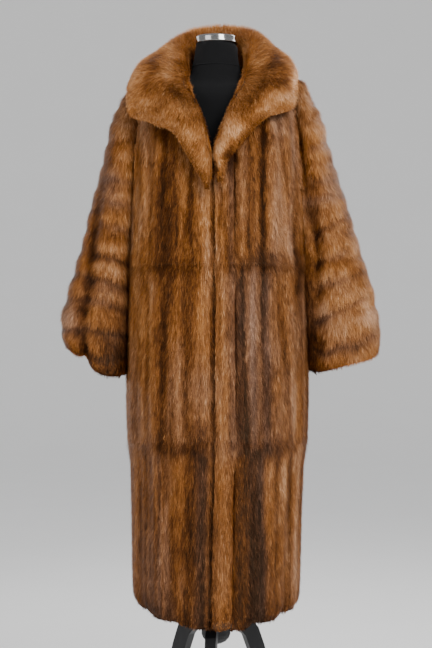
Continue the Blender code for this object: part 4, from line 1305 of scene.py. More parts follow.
@dataclass
class BodyPanel(FurPanel):
    """A front or the back: three tiers of upright skins.

    Attributes:
        lower_seam: Height of the seam over the lower tier, away from the front.
        upper_seam: Height of the seam under the upper tier.
        seam_rise: How much higher the lower seam runs in front.
        tuck_height: Where the lower tier's tucks show.
        closing: How far the free edge in front is moved sideways.
        covered: How dark the painted shadow is that a free edge lying over the fur casts beside it.
        form_top: The form's middle line isn't followed over this height.
        base: Its fur's mean tone.
        crease_depth: How deep a dark narrow streak is drawn in.
    """

    lower_seam: float = 0.7155
    upper_seam: float = 1.112
    seam_rise: float = 0.013
    tuck_height: float = 0.716
    closing: float = 0.0
    covered: float = 0.0
    form_top: float = 1.36
    base: float = 0.455
    crease_depth: float = 0.008

    def outward(self, at: Spots) -> np.ndarray:
        """Return how far each point faces away from the form.

        Args:
            at: The pelt's points.

        Returns:
            1 where a point faces straight out and -1 where it faces the form.
        """
        core = np.stack([
            np.full(len(at.points), at.axis.x), np.full(len(at.points), at.axis.y),
            np.minimum(at.height, self.form_top),
        ], axis=1)
        return np.sum(at.normals * unit(at.points - core), axis=1)

    @staticmethod
    def skins_behind(bearing: np.ndarray, tier: int, wander: np.ndarray) -> np.ndarray:
        """Lay skins with a dark back and paler flanks where nothing is known of them.

        Args:
            bearing: Direction of each point from the form's axis, in degrees.
            tier: The tier's number from below.
            wander: Soft noise that bends the skins.

        Returns:
            The tone that the skins add.
        """
        turn = (bearing + 2.0 * wander) / SKIN_ANGLE + 0.37 * tier
        skin = np.floor(turn)
        chance = np.sin(skin * 12.9898 + tier * 78.233) * 43758.5453
        chance = chance - np.floor(chance)
        return 0.10 - (0.22 + 0.22 * chance) * bell(turn - skin - 0.5, 0.0, 0.20) + 0.10 * (chance - 0.5)

    @staticmethod
    def noise(at: Spots, seed: int, turn: float, rise: float) -> np.ndarray:
        """Return smooth noise with spots of a size in degrees and a number of them to the metre."""
        bearing = at.bearing
        return cloud(np.stack([bearing / turn, bearing * 0.0, at.height * rise], axis=1), seed)

    def colour(self, at: Spots, relief: np.ndarray) -> Shades:
        """Colour the fur: three tiers of skins, soft spots, and painted shade along the seams, in each fold
        and hollow, beside the free edge that lies over it and towards the hem.

        Args:
            at: The pelt's points.
            relief: How far each stands out.

        Returns:
            The tone and the coolness at each point.
        """
        beside, height, bearing = at.beside, at.height, at.bearing
        wander, ragged = self.noise(at, 5, 16.0, 8.0), self.noise(at, 7, 5.0, 0.0)
        front = ramp(-np.abs(bearing), -92.0, -68.0)
        low, high = self.tuck_height + 0.006 * ragged, self.upper_seam + 0.024 * ragged
        below, over = fade(height, low - 0.010, low + 0.010), ramp(height, high - 0.022, high + 0.022)
        tone, cool = np.zeros(len(beside)), np.zeros(len(beside))
        shares = (below, (1.0 - below) * (1.0 - over), over)
        for number, (share, tier) in enumerate(zip(shares, TIERS)):
            ahead, chill = streaked(tier.stripes, beside + 0.0030 * wander, height - tier.middle)
            aback = self.skins_behind(bearing, number, wander)
            tone += share * (1.15 * front * ahead + (1.0 - front) * aback)
            cool += share * (tier.cool + front * chill)
        # Painted shade along each seam, where the tier above hangs over the one below: all round, and
        # deeper at the listed places in front.
        for seam, tucks in ((low, LOWER_SEAM_SHADE), (high, UPPER_SEAM_SHADE)):
            depth, _ = streaked(tucks, beside, 0.0 * height)
            tone += (front * depth - 0.05 * (1.0 - front)) * bell(height, seam, 0.010)
        # Painted shadow beside the free edge of the other front, where it lies over this one.
        under = beside + 0.0046 + 0.0055 * fade(height, *CLOSING_LOOSE)
        tone -= self.covered * bell(under, 0.0, 0.0036)
        spot, chill = patched(BODY_SPOTS_SHADE_AND_LIGHT, beside, height)
        tone, cool = tone + front * spot, cool + front * chill
        streak, spots, wide = (
            self.noise(at, seed, turn, rise)
            for seed, turn, rise in ((11, 2.2, 6.0), (13, 6.0, 14.0), (17, 24.0, 5.0))
        )
        # Painted shade: darker towards the floor, and most of all along the hem.
        hem = 0.12 + 0.14 * ramp(np.abs(beside), 0.05, 0.12)
        low_shade = 0.09 * ramp(1.0 - height, 0.0, 0.6) + hem * fade(height, 0.335, 0.435)
        # The relief paints a little shade in each hollow and a little light on each crest.
        tone = self.base + tone + 0.12 * streak + 0.07 * spots + 0.05 * wide - low_shade + 0.035 * relief
        cool += 0.26 * wide + 0.22 * spots + 0.14 * ramp(tone, 0.50, 0.80)
        return tone, cool

    def shift(self, at: Spots, cover: np.ndarray) -> Points:
        """Fill the tiers' tucks, draw in the creases, place the free edge and round the hem.

        Args:
            at: The pelt's points.
            cover: Where there is fur.

        Returns:
            How far each point is moved.
        """
        beside, height, bearing = at.beside, at.height, at.bearing
        ahead = ramp(-np.abs(bearing), -70.0, -50.0)
        side = np.where(bearing < 0.0, 0.020, 0.010) * ramp(np.abs(bearing), 28.0, 75.0)
        lift = (side - ahead * looked_up(HEM_LINE, beside)) * fade(height, 0.33, 0.43)
        low = self.lower_seam + self.seam_rise * bell(bearing, 0.0, 60.0)
        fill = np.zeros(len(beside))
        for seam, share in ((low, 0.90), (self.upper_seam, 1.0)):
            fill += share * looked_up(TUCK_FILL, height - seam)
        creases = np.zeros(len(beside))
        limits = (0.0, self.tuck_height, self.upper_seam, 9.0)      # the last lies over everything
        for seam, top, tier in zip(limits, limits[1:], TIERS):
            inside = ramp(height, seam - 0.01, seam + 0.01) * fade(height, top - 0.01, top + 0.01)
            for stripe in tier.stripes:
                if stripe.half_width < 0.0055 and stripe.tone < -0.1:
                    away = beside - stripe.place - stripe.lean * (height - tier.middle)
                    creases += inside * self.crease_depth * stripe.tone * bell(away, 0.0, 0.0065)
        edge = self.closing * fade(beside, -0.004, 0.034) * fade(height, 1.26, 1.32)
        edge *= 0.35 + 0.65 * ramp(height, *CLOSING_LOOSE)
        move = at.normals * (cover * (fill + ahead * creases))[:, None]
        return move + np.stack([edge, 0.0 * lift, lift], axis=1)

    def blend(self, at: Spots) -> np.ndarray:
        """Return how far the pelt is smoothed: fully along the upper seam, less along the lower."""
        low = self.lower_seam + self.seam_rise * bell(at.points[:, 0], 0.0, 0.14)
        upper, lower = (bell(at.height - seam, 0.004, 0.022) for seam in (self.upper_seam, low))
        return upper + 0.6 * lower

    def reach(self, at: Spots) -> np.ndarray:
        """Return shorter hair above the hem."""
        return 0.40 + 0.60 * ramp(at.height, 0.345, 0.400)


@dataclass
class SleevePanel(FurPanel):
    """A sleeve: bands of fur one above the other round a slanting tube.

    Attributes:
        gap: Places and heights along the crease in front, from the top down.
        patches: Its soft spots.
        bands: Its dark bands, painted shade in the creases between bands of fur.
        cuff: Places beside the axis, and how far the cuff is raised there.
        crown: Places beside the axis, and how far the sleeve's head is raised there.
        edge_heights: Places beside the axis, and the cuff's height there.
        base: Its fur's mean tone.
        crease: How much painted shade darkens a fold.
        gap_depth: How deep the crease in front is.
        gap_shade: How dark the painted shade in it is.
        bulge: How far the outer side is drawn in above the cuff.
        head: How much fuller the pile is over the sleeve's head.
        band_depth: How deep a band draws the fur in.
        closing: How far the inner side is moved to the body.
    """

    stretch: Triple = (1.0, 1.0, 0.25)
    gap: Table = ((0.0, 0.0),)
    patches: tuple[Patch, ...] = ()
    bands: tuple[Band, ...] = ()
    cuff: Table = ((0.0, 0.0),)
    crown: Table = ((0.0, 0.0),)
    edge_heights: Table = ((0.0, 0.9),)
    base: float = 0.46
    crease: float = 0.12
    gap_depth: float = 0.006
    gap_shade: float = 0.30
    bulge: float = 0.0
    head: float = 0.6
    band_depth: float = 0.0018
    closing: float = 0.0105

    @staticmethod
    def core(points: Points) -> Points:
        """Find the sleeve's middle line.

        Args:
            points: The pelt's points.

        Returns:
            The middle line at the height of each point; over the sleeve's head, just below it.
        """
        low, high = points[:, 2].min(), points[:, 2].max()
        steps = np.linspace(low, high, 40)
        middles = []
        for step in steps:
            near = points[np.abs(points[:, 2] - step) < 0.03]
            middles.append(0.5 * (near.min(axis=0) + near.max(axis=0))[:2])
        middles = np.array(middles)
        height = np.minimum(points[:, 2], high - 0.09)
        at = [np.interp(height, steps, middles[:, axis]) for axis in (0, 1)]
        return np.stack([*at, height], axis=1)

    @staticmethod
    def side(at: Spots) -> float:
        """Return 1 for the sleeve at +X and -1 for the other."""
        return np.sign(at.beside.mean())

    def outward(self, at: Spots) -> np.ndarray:
        """Return how far each point faces away from the sleeve's middle line."""
        return np.sum(at.normals * unit(at.points - self.core(at.points)), axis=1)

    def flow(self, at: Spots) -> Points:
        """Return hair that lies down the sleeve and a little outwards, and in under the cuff."""
        away = (at.points - self.core(at.points)) * LEVEL
        down = np.array([0.18 * self.side(at), 0.0, -1.0])
        return combed(down - self.under(at.normals) * unit(away), at.normals)

    def band_shading(self, beside: np.ndarray, height: np.ndarray) -> tuple[np.ndarray, np.ndarray, np.ndarray]:
        """Add up the bands: painted shade in their creases, and a little painted light on the fur just
        above each.

        Args:
            beside: How far each point lies beside the axis.
            height: How high it lies.

        Returns:
            The tone and the coolness that they add, and where they draw the fur in.
        """
        tone, cool, drawn = np.zeros_like(beside), np.zeros_like(beside), np.zeros_like(beside)
        level = 0.0 * height
        wave = 0.004 * cloud(np.stack([beside * 40.0, height * 12.0, level], axis=1), 31 + self.seed)
        for band in self.bands:
            away = height + wave - band.height - band.slope * (beside - band.place)
            places = np.stack([beside * 30.0, level + band.height * 50.0, level], axis=1)
            patchy = 0.90 + 0.25 * cloud(places, 37)
            inside = (ramp(beside, band.start - 0.008, band.start + 0.008)
                      * fade(beside, band.end - 0.008, band.end + 0.008))
            share = patchy * inside * bell(away, 0.0, band.half_width)
            tone += band.tone * share
            cool += band.cool * share
            drawn += inside * bell(away, 0.0, 0.011) * abs(band.tone) / 0.20
            # A little painted light on the fur just above the band's crease.
            tone += 0.05 * inside * bell(away, 0.022, 0.014)
        return tone, cool, drawn

    def crease_line(self, at: Spots) -> np.ndarray:
        """Find the lengthwise crease on the sleeve's front.

        Args:
            at: The pelt's points.

        Returns:
            1 along the crease and 0 away from it.
        """
        places, heights = zip(*self.gap[::-1])
        away = at.beside - np.interp(at.height, heights, places)
        inside = fade(at.height, heights[-1] - 0.01, heights[-1] + 0.03)
        inside *= ramp(at.height, heights[0] - 0.03, heights[0] + 0.01)
        return bell(away, 0.0, 0.0065) * ramp(-at.normals[:, 1], -0.1, 0.4) * inside

    def shift(self, at: Spots, cover: np.ndarray) -> Points:
        """Draw in the bands, round the cuff, raise the head and close the gap to the body.

        Args:
            at: The pelt's points.
            cover: Where there is fur.

        Returns:
            How far each point is moved.
        """
        beside, height, side = at.beside, at.height, self.side(at)
        _, _, drawn = self.band_shading(beside, height)
        depth = self.band_depth * drawn + self.gap_depth * self.crease_line(at)
        move = -at.normals * (cover * depth)[:, None]
        low = fade(height, height.min() + 0.045, height.min() + 0.13)
        move[:, 2] += low * looked_up(self.cuff, beside)
        inner = cover * ramp(-side * at.normals[:, 0], 0.0, 0.6) * fade(height, 1.22, 1.30)
        move[:, 0] -= side * self.closing * inner
        outer = bell(height, 1.010, 0.045) * ramp(side * beside, 0.280, 0.350)
        move[:, 0] -= side * self.bulge * outer
        move[:, 2] += ramp(height, 1.43, 1.495) * looked_up(self.crown, beside)
        return move

    def colour(self, at: Spots, relief: np.ndarray) -> Shades:
        """Colour the fur: soft spots, and painted shade in the bands' creases, in the crease in front, in
        each fold, on the side facing the body and at the cuff.

        Args:
            at: The pelt's points.
            relief: How far each stands out.

        Returns:
            The tone and the coolness at each point.
        """
        beside, height, side = at.beside, at.height, self.side(at)
        tone, cool = patched(self.patches, beside, height)
        dark, chill, _ = self.band_shading(beside, height)
        # Painted shade in the lengthwise crease in front.
        tone += dark - self.gap_shade * self.crease_line(at)
        cool += chill
        spots = cloud(at.points * np.array([34.0, 34.0, 50.0]), 23 + self.seed)
        wide = cloud(at.points * np.array([11.0, 11.0, 16.0]), 29 + self.seed)
        cool += 0.14 + 0.40 * wide + 0.20 * spots
        # Painted shade in each fold and a little painted light on its crest, from the relief.
        fold_shading = np.where(relief < 0.0, self.crease, 0.05) * relief
        # Painted shade along the cuff's edge, where the fur turns under.
        cuff = 0.26 * bell(height, looked_up(self.edge_heights, beside), 0.024)
        # Painted shade and light on the side that faces the body: a little darker on the sleeve at +X,
        # paler on the other.
        inner = (0.02 - 0.03 * side) * ramp(-side * at.normals[:, 0], 0.3, 0.9)
        return self.base + tone + 0.10 * spots + 0.10 * wide + fold_shading - cuff + inner, cool - cuff

    def reach(self, at: Spots) -> np.ndarray:
        """Return shorter hair round the cuff."""
        above = at.height - looked_up(self.edge_heights, at.beside)
        return 0.45 + 0.55 * ramp(above, 0.010, 0.055)

    def swell(self, at: Spots, relief: np.ndarray) -> np.ndarray:
        """Return the share of a strand's rise at each point: fuller over the sleeve head."""
        return (1.0 - 0.12 * relief).clip(0.7, 1.3) + self.head * ramp(at.height, 1.455, 1.500)


@dataclass
class CollarPanel(FurPanel):
    """The shawl collar: hair that runs from the neck over the roll line to the edge.

    Attributes:
        roll: The line along which the collar turns over, from the form's axis.
        edge: The line of its free edge, from the form's axis.
        patches: Its soft spots.
        open_space: A side with less room in front of it than this is hidden.
        solids: The nodes that may stand in front of it.
    """

    stretch: Triple = (0.8, 0.8, 0.45)
    roll: Line = ()
    edge: Line = ()
    patches: tuple[Patch, ...] = ()
    open_space: float = 0.065
    solids: tuple[str, ...] = ("collar", "front_left", "front_right", "back")

    def outward(self, at: Spots) -> np.ndarray:
        """Measure how open the space is in front of each point.

        Args:
            at: The pelt's points.

        Returns:
            1 in the open and below 0 where another surface is close.
        """
        corners, faces = [], []
        for node in self.solids:
            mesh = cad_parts[node].data
            first = len(corners)
            corners.extend(vertex.co.copy() for vertex in mesh.vertices)
            faces.extend([corner + first for corner in face.vertices] for face in mesh.polygons)
        tree = BVHTree.FromPolygons(corners, faces)
        room = np.ones(len(at.points))
        for number, (point, normal) in enumerate(zip(at.points, at.normals)):
            aim = Vector(normal).normalized()
            hit, _, _, gap = tree.ray_cast(Vector(point) + 0.0015 * aim, aim, 0.12)
            if hit is not None:
                room[number] = gap / self.open_space - 0.7
            # In the V the other lapel is near, and still both lapels show.
            if aim.y < -0.25 and abs(point[0] - at.axis.x) < 0.045 and point[2] < 1.44:
                room[number] = 1.0
        return room.clip(-1.0, 1.0)

    @staticmethod
    def gaps(at: Spots, line: Line) -> tuple[Points, np.ndarray]:
        """Measure the way to a line.

        Args:
            at: The pelt's points.
            line: The line's corners, from the form's axis.

        Returns:
            Points along the line, and the distance of each of the pelt's points from each.
        """
        places = finer(np.array(line) + np.array([at.axis.x, at.axis.y, 0.0]), LINE_POINTS)
        return places, np.linalg.norm(at.points[:, None, :] - places[None, :, :], axis=2)

    def nearest(self, at: Spots) -> tuple[Points, Points, np.ndarray]:
        """Find the roll line's nearest point.

        Args:
            at: The pelt's points.

        Returns:
            For each the nearest point, the line's direction there and the distance.
        """
        places, gaps = self.gaps(at, self.roll)
        best = np.argmin(gaps, axis=1)
        near = places[best]
        return near, unit(np.gradient(places, axis=0))[best], np.linalg.norm(at.points - near, axis=1)

    def flow(self, at: Spots) -> Points:
        """Lay the hair across the collar, and down along the lapels.

        Args:
            at: The pelt's points.

        Returns:
            The hair's direction at each point.
        """
        _, ways, _ = self.nearest(at)
        over = unit(np.cross(ways, at.normals))
        lapel = ramp(-at.behind, 0.06, 0.14)[:, None]
        along = ways * -np.sign(ways[:, 2:3])
        return combed(over * (1.0 - 0.55 * lapel) + 1.1 * lapel * along, at.normals)

    def reach(self, at: Spots) -> np.ndarray:
        """Shorten the hair on the side that faces the neck, and at the edge.

        Args:
            at: The pelt's points.

        Returns:
            The share of a strand's length at each point.
        """
        near, _, _ = self.nearest(at)
        away = (near - np.array([at.axis.x, at.axis.y - 0.02, 0.0])) * LEVEL
        facing = np.sum(unit(away) * at.normals, axis=1)
        far = np.min(self.gaps(at, self.edge)[1], axis=1)
        return (0.38 + 0.62 * ramp(facing, -0.45, 0.25)) * (0.38 + 0.62 * ramp(far, 0.010, 0.040))

    def swell(self, at: Spots, relief: np.ndarray) -> np.ndarray:
        """Return the share of a strand's rise at each point: full along the top behind."""
        crest = bell(self.nearest(at)[2], 0.008, 0.016) * ramp(at.behind, -0.03, 0.05)
        return (1.0 - 0.15 * relief).clip(0.7, 1.3) + 1.5 * crest

    def colour(self, at: Spots, relief: np.ndarray) -> Shades:
        """Colour the fur: soft spots in front, paler towards the edge, painted light behind the neck where
        it faces the front, and a little painted shade and light from the relief.

        Args:
            at: The pelt's points.
            relief: How far each stands out.

        Returns:
            The tone and the coolness at each point.
        """
        _, _, away = self.nearest(at)
        ahead = ramp(-at.behind, -0.02, 0.03)
        tone, cool = patched(self.patches, at.beside, at.height)
        tone, cool = ahead * tone, ahead * cool
        # Painted light: behind the neck, the side that faces the front is made paler and warmer.
        inner = (1.0 - ahead) * ramp(-at.normals[:, 1], -0.3, 0.4)
        spots, wide = cloud(at.points * 38.0, 41), cloud(at.points * 14.0, 47)
        rim = 0.16 * ramp(away, 0.045, 0.105)
        band = 0.16 * bell(away, 0.055, 0.016) * (1.0 - ahead)
        tone = 0.485 + tone + 0.13 * spots + 0.10 * wide + rim - band + 0.20 * inner + 0.02 * relief
        cool += -0.20 - 0.2 * inner + 0.12 * wide + 0.14 * ramp(tone, 0.60, 0.90)
        return tone, cool

    def shift(self, at: Spots, cover: np.ndarray) -> Points:
        """Square the collar's upper outline, raise its lower edge in front and narrow the V.

        Args:
            at: The pelt's points.
            cover: Where there is fur.

        Returns:
            How far each point is moved.
        """
        beside, height, aside = at.beside, at.height, np.abs(at.beside)
        wide = np.where(beside > 0.0, 0.008, 0.005) * ramp(aside, 0.08, 0.15)
        out = cover * bell(height, 1.555, 0.045) * wide * ramp(np.abs(at.normals[:, 0]), 0.2, 0.7)
        move = at.normals * out[:, None]
        _, _, away = self.nearest(at)
        ahead = ramp(-at.behind, 0.02, 0.07)
        move[:, 2] += ahead * ramp(away, 0.015, 0.075) * looked_up(LAPEL_LIFT, beside)
        move[:, 2] += 0.004 * ramp(at.behind, 0.0, 0.06) * fade(away, 0.01, 0.04)
        shoulder = bell(aside, 0.098, 0.028) * ramp(height, 1.540, 1.575)
        move[:, 2] += np.where(beside > 0.0, 0.013, 0.006) * shoulder
        share = ahead * bell(height, 1.345, 0.030) * fade(aside, 0.026, 0.060)
        move[:, 0] -= share * (0.0130 * ramp(beside, 0.0, 0.006) - 0.0025 * ramp(-beside, 0.004, 0.010))
        move[:, 0] -= 0.005 * cover * bell(height, 1.505, 0.030) * ramp(beside, 0.150, 0.178)
        return move


ROLL_LINE = (                   # where the collar turns over, from the form's axis
    (0.0085, -0.176, 1.303), (0.0090, -0.176, 1.335), (0.0110, -0.171, 1.376),
    (0.0250, -0.143, 1.437), (0.0500, -0.102, 1.493), (0.0690, -0.045, 1.550),
    (0.0750, 0.028, 1.610), (0.0570, 0.082, 1.646), (0.0020, 0.100, 1.656),
    (-0.051, 0.082, 1.642), (-0.075, 0.028, 1.606), (-0.069, -0.045, 1.550),
    (-0.058, -0.098, 1.493), (-0.034, -0.143, 1.437), (-0.022, -0.171, 1.376),
    (-0.016, -0.176, 1.332), (-0.015, -0.177, 1.290),
)
EDGE_LINE = (                   # the collar's free edge, from the form's axis
    (0.010, -0.177, 1.281), (0.024, -0.175, 1.312), (0.052, -0.166, 1.355),
    (0.085, -0.146, 1.397), (0.160, -0.112, 1.428), (0.180, -0.084, 1.474),
    (0.178, 0.025, 1.530), (0.138, 0.128, 1.485), (0.002, 0.148, 1.462),
    (-0.140, 0.128, 1.485), (-0.188, 0.022, 1.528), (-0.196, -0.086, 1.464),
    (-0.183, -0.108, 1.416), (-0.129, -0.140, 1.394), (-0.085, -0.160, 1.355),
    (-0.042, -0.174, 1.304), (-0.020, -0.178, 1.263),
)
LAPEL_LIFT = (                  # beside the axis, and how far the collar's lower edge is raised
    (-0.195, 0.008), (-0.183, 0.012), (-0.158, 0.017), (-0.126, 0.014), (-0.103, 0.024),
    (-0.087, 0.030), (-0.071, 0.024), (-0.052, 0.018), (-0.033, 0.017), (-0.015, 0.013),
    (0.002, 0.022), (0.012, 0.024), (0.034, 0.005), (0.072, 0.002), (0.096, 0.012),
    (0.116, 0.022), (0.134, 0.020), (0.153, 0.018), (0.172, 0.010), (0.195, 0.004),
)
# Soft spots on the collar's front; some are painted shadow under the lapel's end at +X, and some painted
# light on the stand's inner side behind the neck.
COLLAR_SPOTS_SHADE_AND_LIGHT = records(
    Patch,
    (-0.13, 1.548, 0.012, 0.034, -0.24), (-0.146, 1.508, 0.013, 0.03, -0.22),
    (-0.104, 1.478, 0.032, 0.011, -0.14, 0.1), (0.124, 1.56, 0.011, 0.032, -0.3),
    (0.142, 1.5, 0.016, 0.018, -0.26), (0.108, 1.49, 0.03, 0.011, -0.24, 0.1),
    (0.082, 1.474, 0.022, 0.01, -0.16, 0.1), (0.06, 1.452, 0.02, 0.01, -0.04, 0.1),
    (-0.15, 1.48, 0.022, 0.02, -0.26), (-0.134, 1.436, 0.028, 0.016, -0.24),
    (-0.104, 1.512, 0.018, 0.012, 0.18), (-0.068, 1.455, 0.016, 0.03, 0.22),
    (0.055, 1.482, 0.022, 0.012, 0.18), (0.032, 1.43, 0.02, 0.02, 0.14), (0.075, 1.59, 0.03, 0.03, 0.2),
    (-0.08, 1.6, 0.03, 0.026, 0.18), (0.034, 1.346, 0.014, 0.014, -0.3),
    (0.148, 1.43, 0.024, 0.008, -0.14), (-0.0786, 1.4045, 0.009, 0.006, -0.34),
    (-0.04, 1.44, 0.014, 0.03, -0.08), (-0.098, 1.54, 0.018, 0.034, 0.14),
    (-0.108, 1.512, 0.02, 0.014, 0.12), (0.083, 1.563, 0.022, 0.035, 0.13),
    (0.066, 1.52, 0.018, 0.02, 0.08), (-0.16, 1.45, 0.026, 0.012, 0.12, 0.1),
    (-0.057, 1.392, 0.03, 0.018, 0.22, 0.1), (-0.1, 1.43, 0.026, 0.012, 0.14),
    (-0.03, 1.345, 0.016, 0.034, 0.16, 0.2), (0.151, 1.462, 0.032, 0.012, 0.24, 0.1),
    (0.1, 1.438, 0.03, 0.013, 0.28, 0.1), (0.0415, 1.405, 0.03, 0.022, 0.44, -0.1),
    (0.014, 1.356, 0.014, 0.034, 0.4, 0.0), (0.17, 1.5, 0.01, 0.04, 0.26, 0.2),
    (-0.168, 1.5, 0.012, 0.03, 0.06),
)
LEFT_PATCHES = records(
    Patch,
    (0.235, 1.43, 0.03, 0.05, 0.2), (0.196, 1.49, 0.03, 0.03, 0.22), (0.25, 1.3, 0.02, 0.04, 0.1, 0.4),
    (0.27, 1.25, 0.016, 0.03, 0.2), (0.275, 1.17, 0.03, 0.06, 0.1, 0.2), (0.3, 1.02, 0.05, 0.06, 0.1),
    (0.305, 1.16, 0.014, 0.03, 0.2), (0.338, 1.04, 0.014, 0.05, 0.24), (0.356, 0.98, 0.012, 0.1, 0.14),
    (0.335, 0.905, 0.04, 0.018, 0.08), (0.206, 1.06, 0.012, 0.09, -0.3),
    (0.24, 1.04, 0.012, 0.08, 0.18), (0.217, 0.945, 0.014, 0.085, -0.46),
    (0.236, 1.37, 0.014, 0.04, 0.22), (0.212, 1.2, 0.01, 0.05, 0.12),
)
LEFT_BANDS = records(
    Band,
    (1.387, 0.25, 0.3, 0.2, 0.4, -0.16), (1.309, 0.25, 0.2, 0.2, 0.4, -0.12),
    (1.269, 0.25, 0.2, 0.2, 0.4, -0.14), (1.193, 0.235, 0.6, 0.22, 0.4, -0.18),
    (1.12, 0.235, 0.5, 0.22, 0.29, -0.14), (1.078, 0.266, 0.36, 0.23, 0.36, -0.14),
    (1.011, 0.266, 0.5, 0.225, 0.345, -0.26), (0.938, 0.266, 0.3, 0.225, 0.36, -0.28),
)
RIGHT_PATCHES = records(
    Patch,
    (-0.2, 1.46, 0.035, 0.05, 0.18, 0.1), (-0.23, 1.3, 0.02, 0.04, 0.02, 0.5),
    (-0.198, 1.32, 0.014, 0.3, 0.12), (-0.226, 0.925, 0.03, 0.055, -0.36),
    (-0.292, 1.1, 0.014, 0.03, 0.12), (-0.266, 1.115, 0.014, 0.014, 0.16),
    (-0.21, 1.18, 0.03, 0.05, 0.06), (-0.228, 1.11, 0.014, 0.018, 0.16),
    (-0.25, 1.066, 0.02, 0.014, 0.04, 0.4), (-0.27, 1.01, 0.02, 0.014, 0.08),
    (-0.205, 0.97, 0.014, 0.14, -0.14), (-0.316, 0.925, 0.02, 0.02, 0.12),
    (-0.32, 1.01, 0.02, 0.03, 0.06, 0.4),
)
RIGHT_BANDS = records(
    Band,
    (1.309, -0.24, -0.2, -0.4, -0.15, -0.12), (1.258, -0.24, -0.2, -0.4, -0.15, -0.16),
    (1.203, -0.24, -0.2, -0.262, -0.15, -0.16), (1.132, -0.24, -0.3, -0.268, -0.15, -0.2),
    (1.079, -0.24, -0.35, -0.28, -0.15, -0.18), (1.03, -0.24, -0.38, -0.285, -0.15, -0.24),
    (0.968, -0.24, -0.22, -0.288, -0.15, -0.26), (0.912, -0.24, -0.19, -0.288, -0.15, -0.24),
    (1.158, -0.31, 0.1, -0.4, -0.262, -0.16), (1.096, -0.31, 0.1, -0.4, -0.28, -0.18),
    (1.043, -0.31, 0.1, -0.4, -0.285, -0.2), (0.979, -0.31, 0.1, -0.4, -0.288, -0.2),
)


class Coat:
    """The fur coat: back, two fronts, two sleeves and the collar."""

    panels: tuple[FurPanel, ...] = (
        BodyPanel("back", (0.62, 1.22), 0.62, ("form_body",), 165000, length=0.022, width=0.0016, seed=3,
                  levels=1),
        BodyPanel("front_left", (0.34, 1.12), 0.30, ("form_body",), 140000, seed=5, closing=0.0088),
        BodyPanel("front_right", (0.36, 1.12), 0.31, ("form_body",), 145000, seed=7, covered=0.40),
        SleevePanel(
            "sleeve_left", (0.46, 0.62), 0.25, ("back_pelt", "front_left_pelt"), 108000, hold=0.5, seed=9,
            base=0.46, head=0.3, soften=0.6, bulge=0.008, patches=LEFT_PATCHES, bands=LEFT_BANDS,
            crown=((0.160, 0.045), (0.195, 0.020), (0.212, -0.008)),
            gap=((0.176, 1.43), (0.187, 1.36), (0.201, 1.26), (0.222, 1.17)),
            cuff=((0.190, 0.014), (0.206, 0.012), (0.228, -0.003), (0.266, -0.007), (0.305, -0.012),
                  (0.344, -0.019), (0.364, -0.018), (0.380, -0.010)),
            edge_heights=((0.190, 0.872), (0.220, 0.862), (0.266, 0.872), (0.305, 0.880), (0.344, 0.895),
                          (0.364, 0.920), (0.374, 0.95)),
        ),
        SleevePanel(
            "sleeve_right", (0.44, 0.63), 0.24, ("back_pelt", "front_right_pelt"), 106000, hold=0.5,
            seed=11, base=0.415, head=0.1, soften=0.6, patches=RIGHT_PATCHES, bands=RIGHT_BANDS,
            crown=((-0.222, -0.016), (-0.205, -0.008), (-0.170, 0.010)), gap_depth=0.004, gap_shade=0.14,
            gap=((-0.268, 1.090), (-0.280, 1.060), (-0.285, 1.020), (-0.289, 0.96), (-0.288, 0.86)),
            cuff=((-0.345, 0.013), (-0.333, 0.012), (-0.315, 0.006), (-0.297, 0.010), (-0.288, 0.022),
                  (-0.279, -0.002), (-0.266, -0.008), (-0.2505, -0.006), (-0.2306, 0.001),
                  (-0.2128, 0.011), (-0.190, 0.020)),
            edge_heights=((-0.350, 0.935), (-0.333, 0.918), (-0.300, 0.905), (-0.288, 0.912),
                          (-0.270, 0.878), (-0.240, 0.864), (-0.200, 0.862)),
        ),
        CollarPanel(
            "collar", (0.34, 1.15), 0.24, ("back_pelt", "front_left_pelt", "front_right_pelt"), 122000,
            lift=0.0058, spread=0.28, hold=1.0, seed=13, roll=ROLL_LINE, edge=EDGE_LINE,
            patches=COLLAR_SPOTS_SHADE_AND_LIGHT,
        ),
    )

    def build(self, axis: Vector) -> None:
        """Build the coat.

        Args:
            axis: The form's axis on the floor.
        """
        finish = FurFinish()
        skins = Skins(axis, finish.underfur(), finish.hide(), Pile(finish.strands()))
        for panel in self.panels:
            panel.dress(skins)


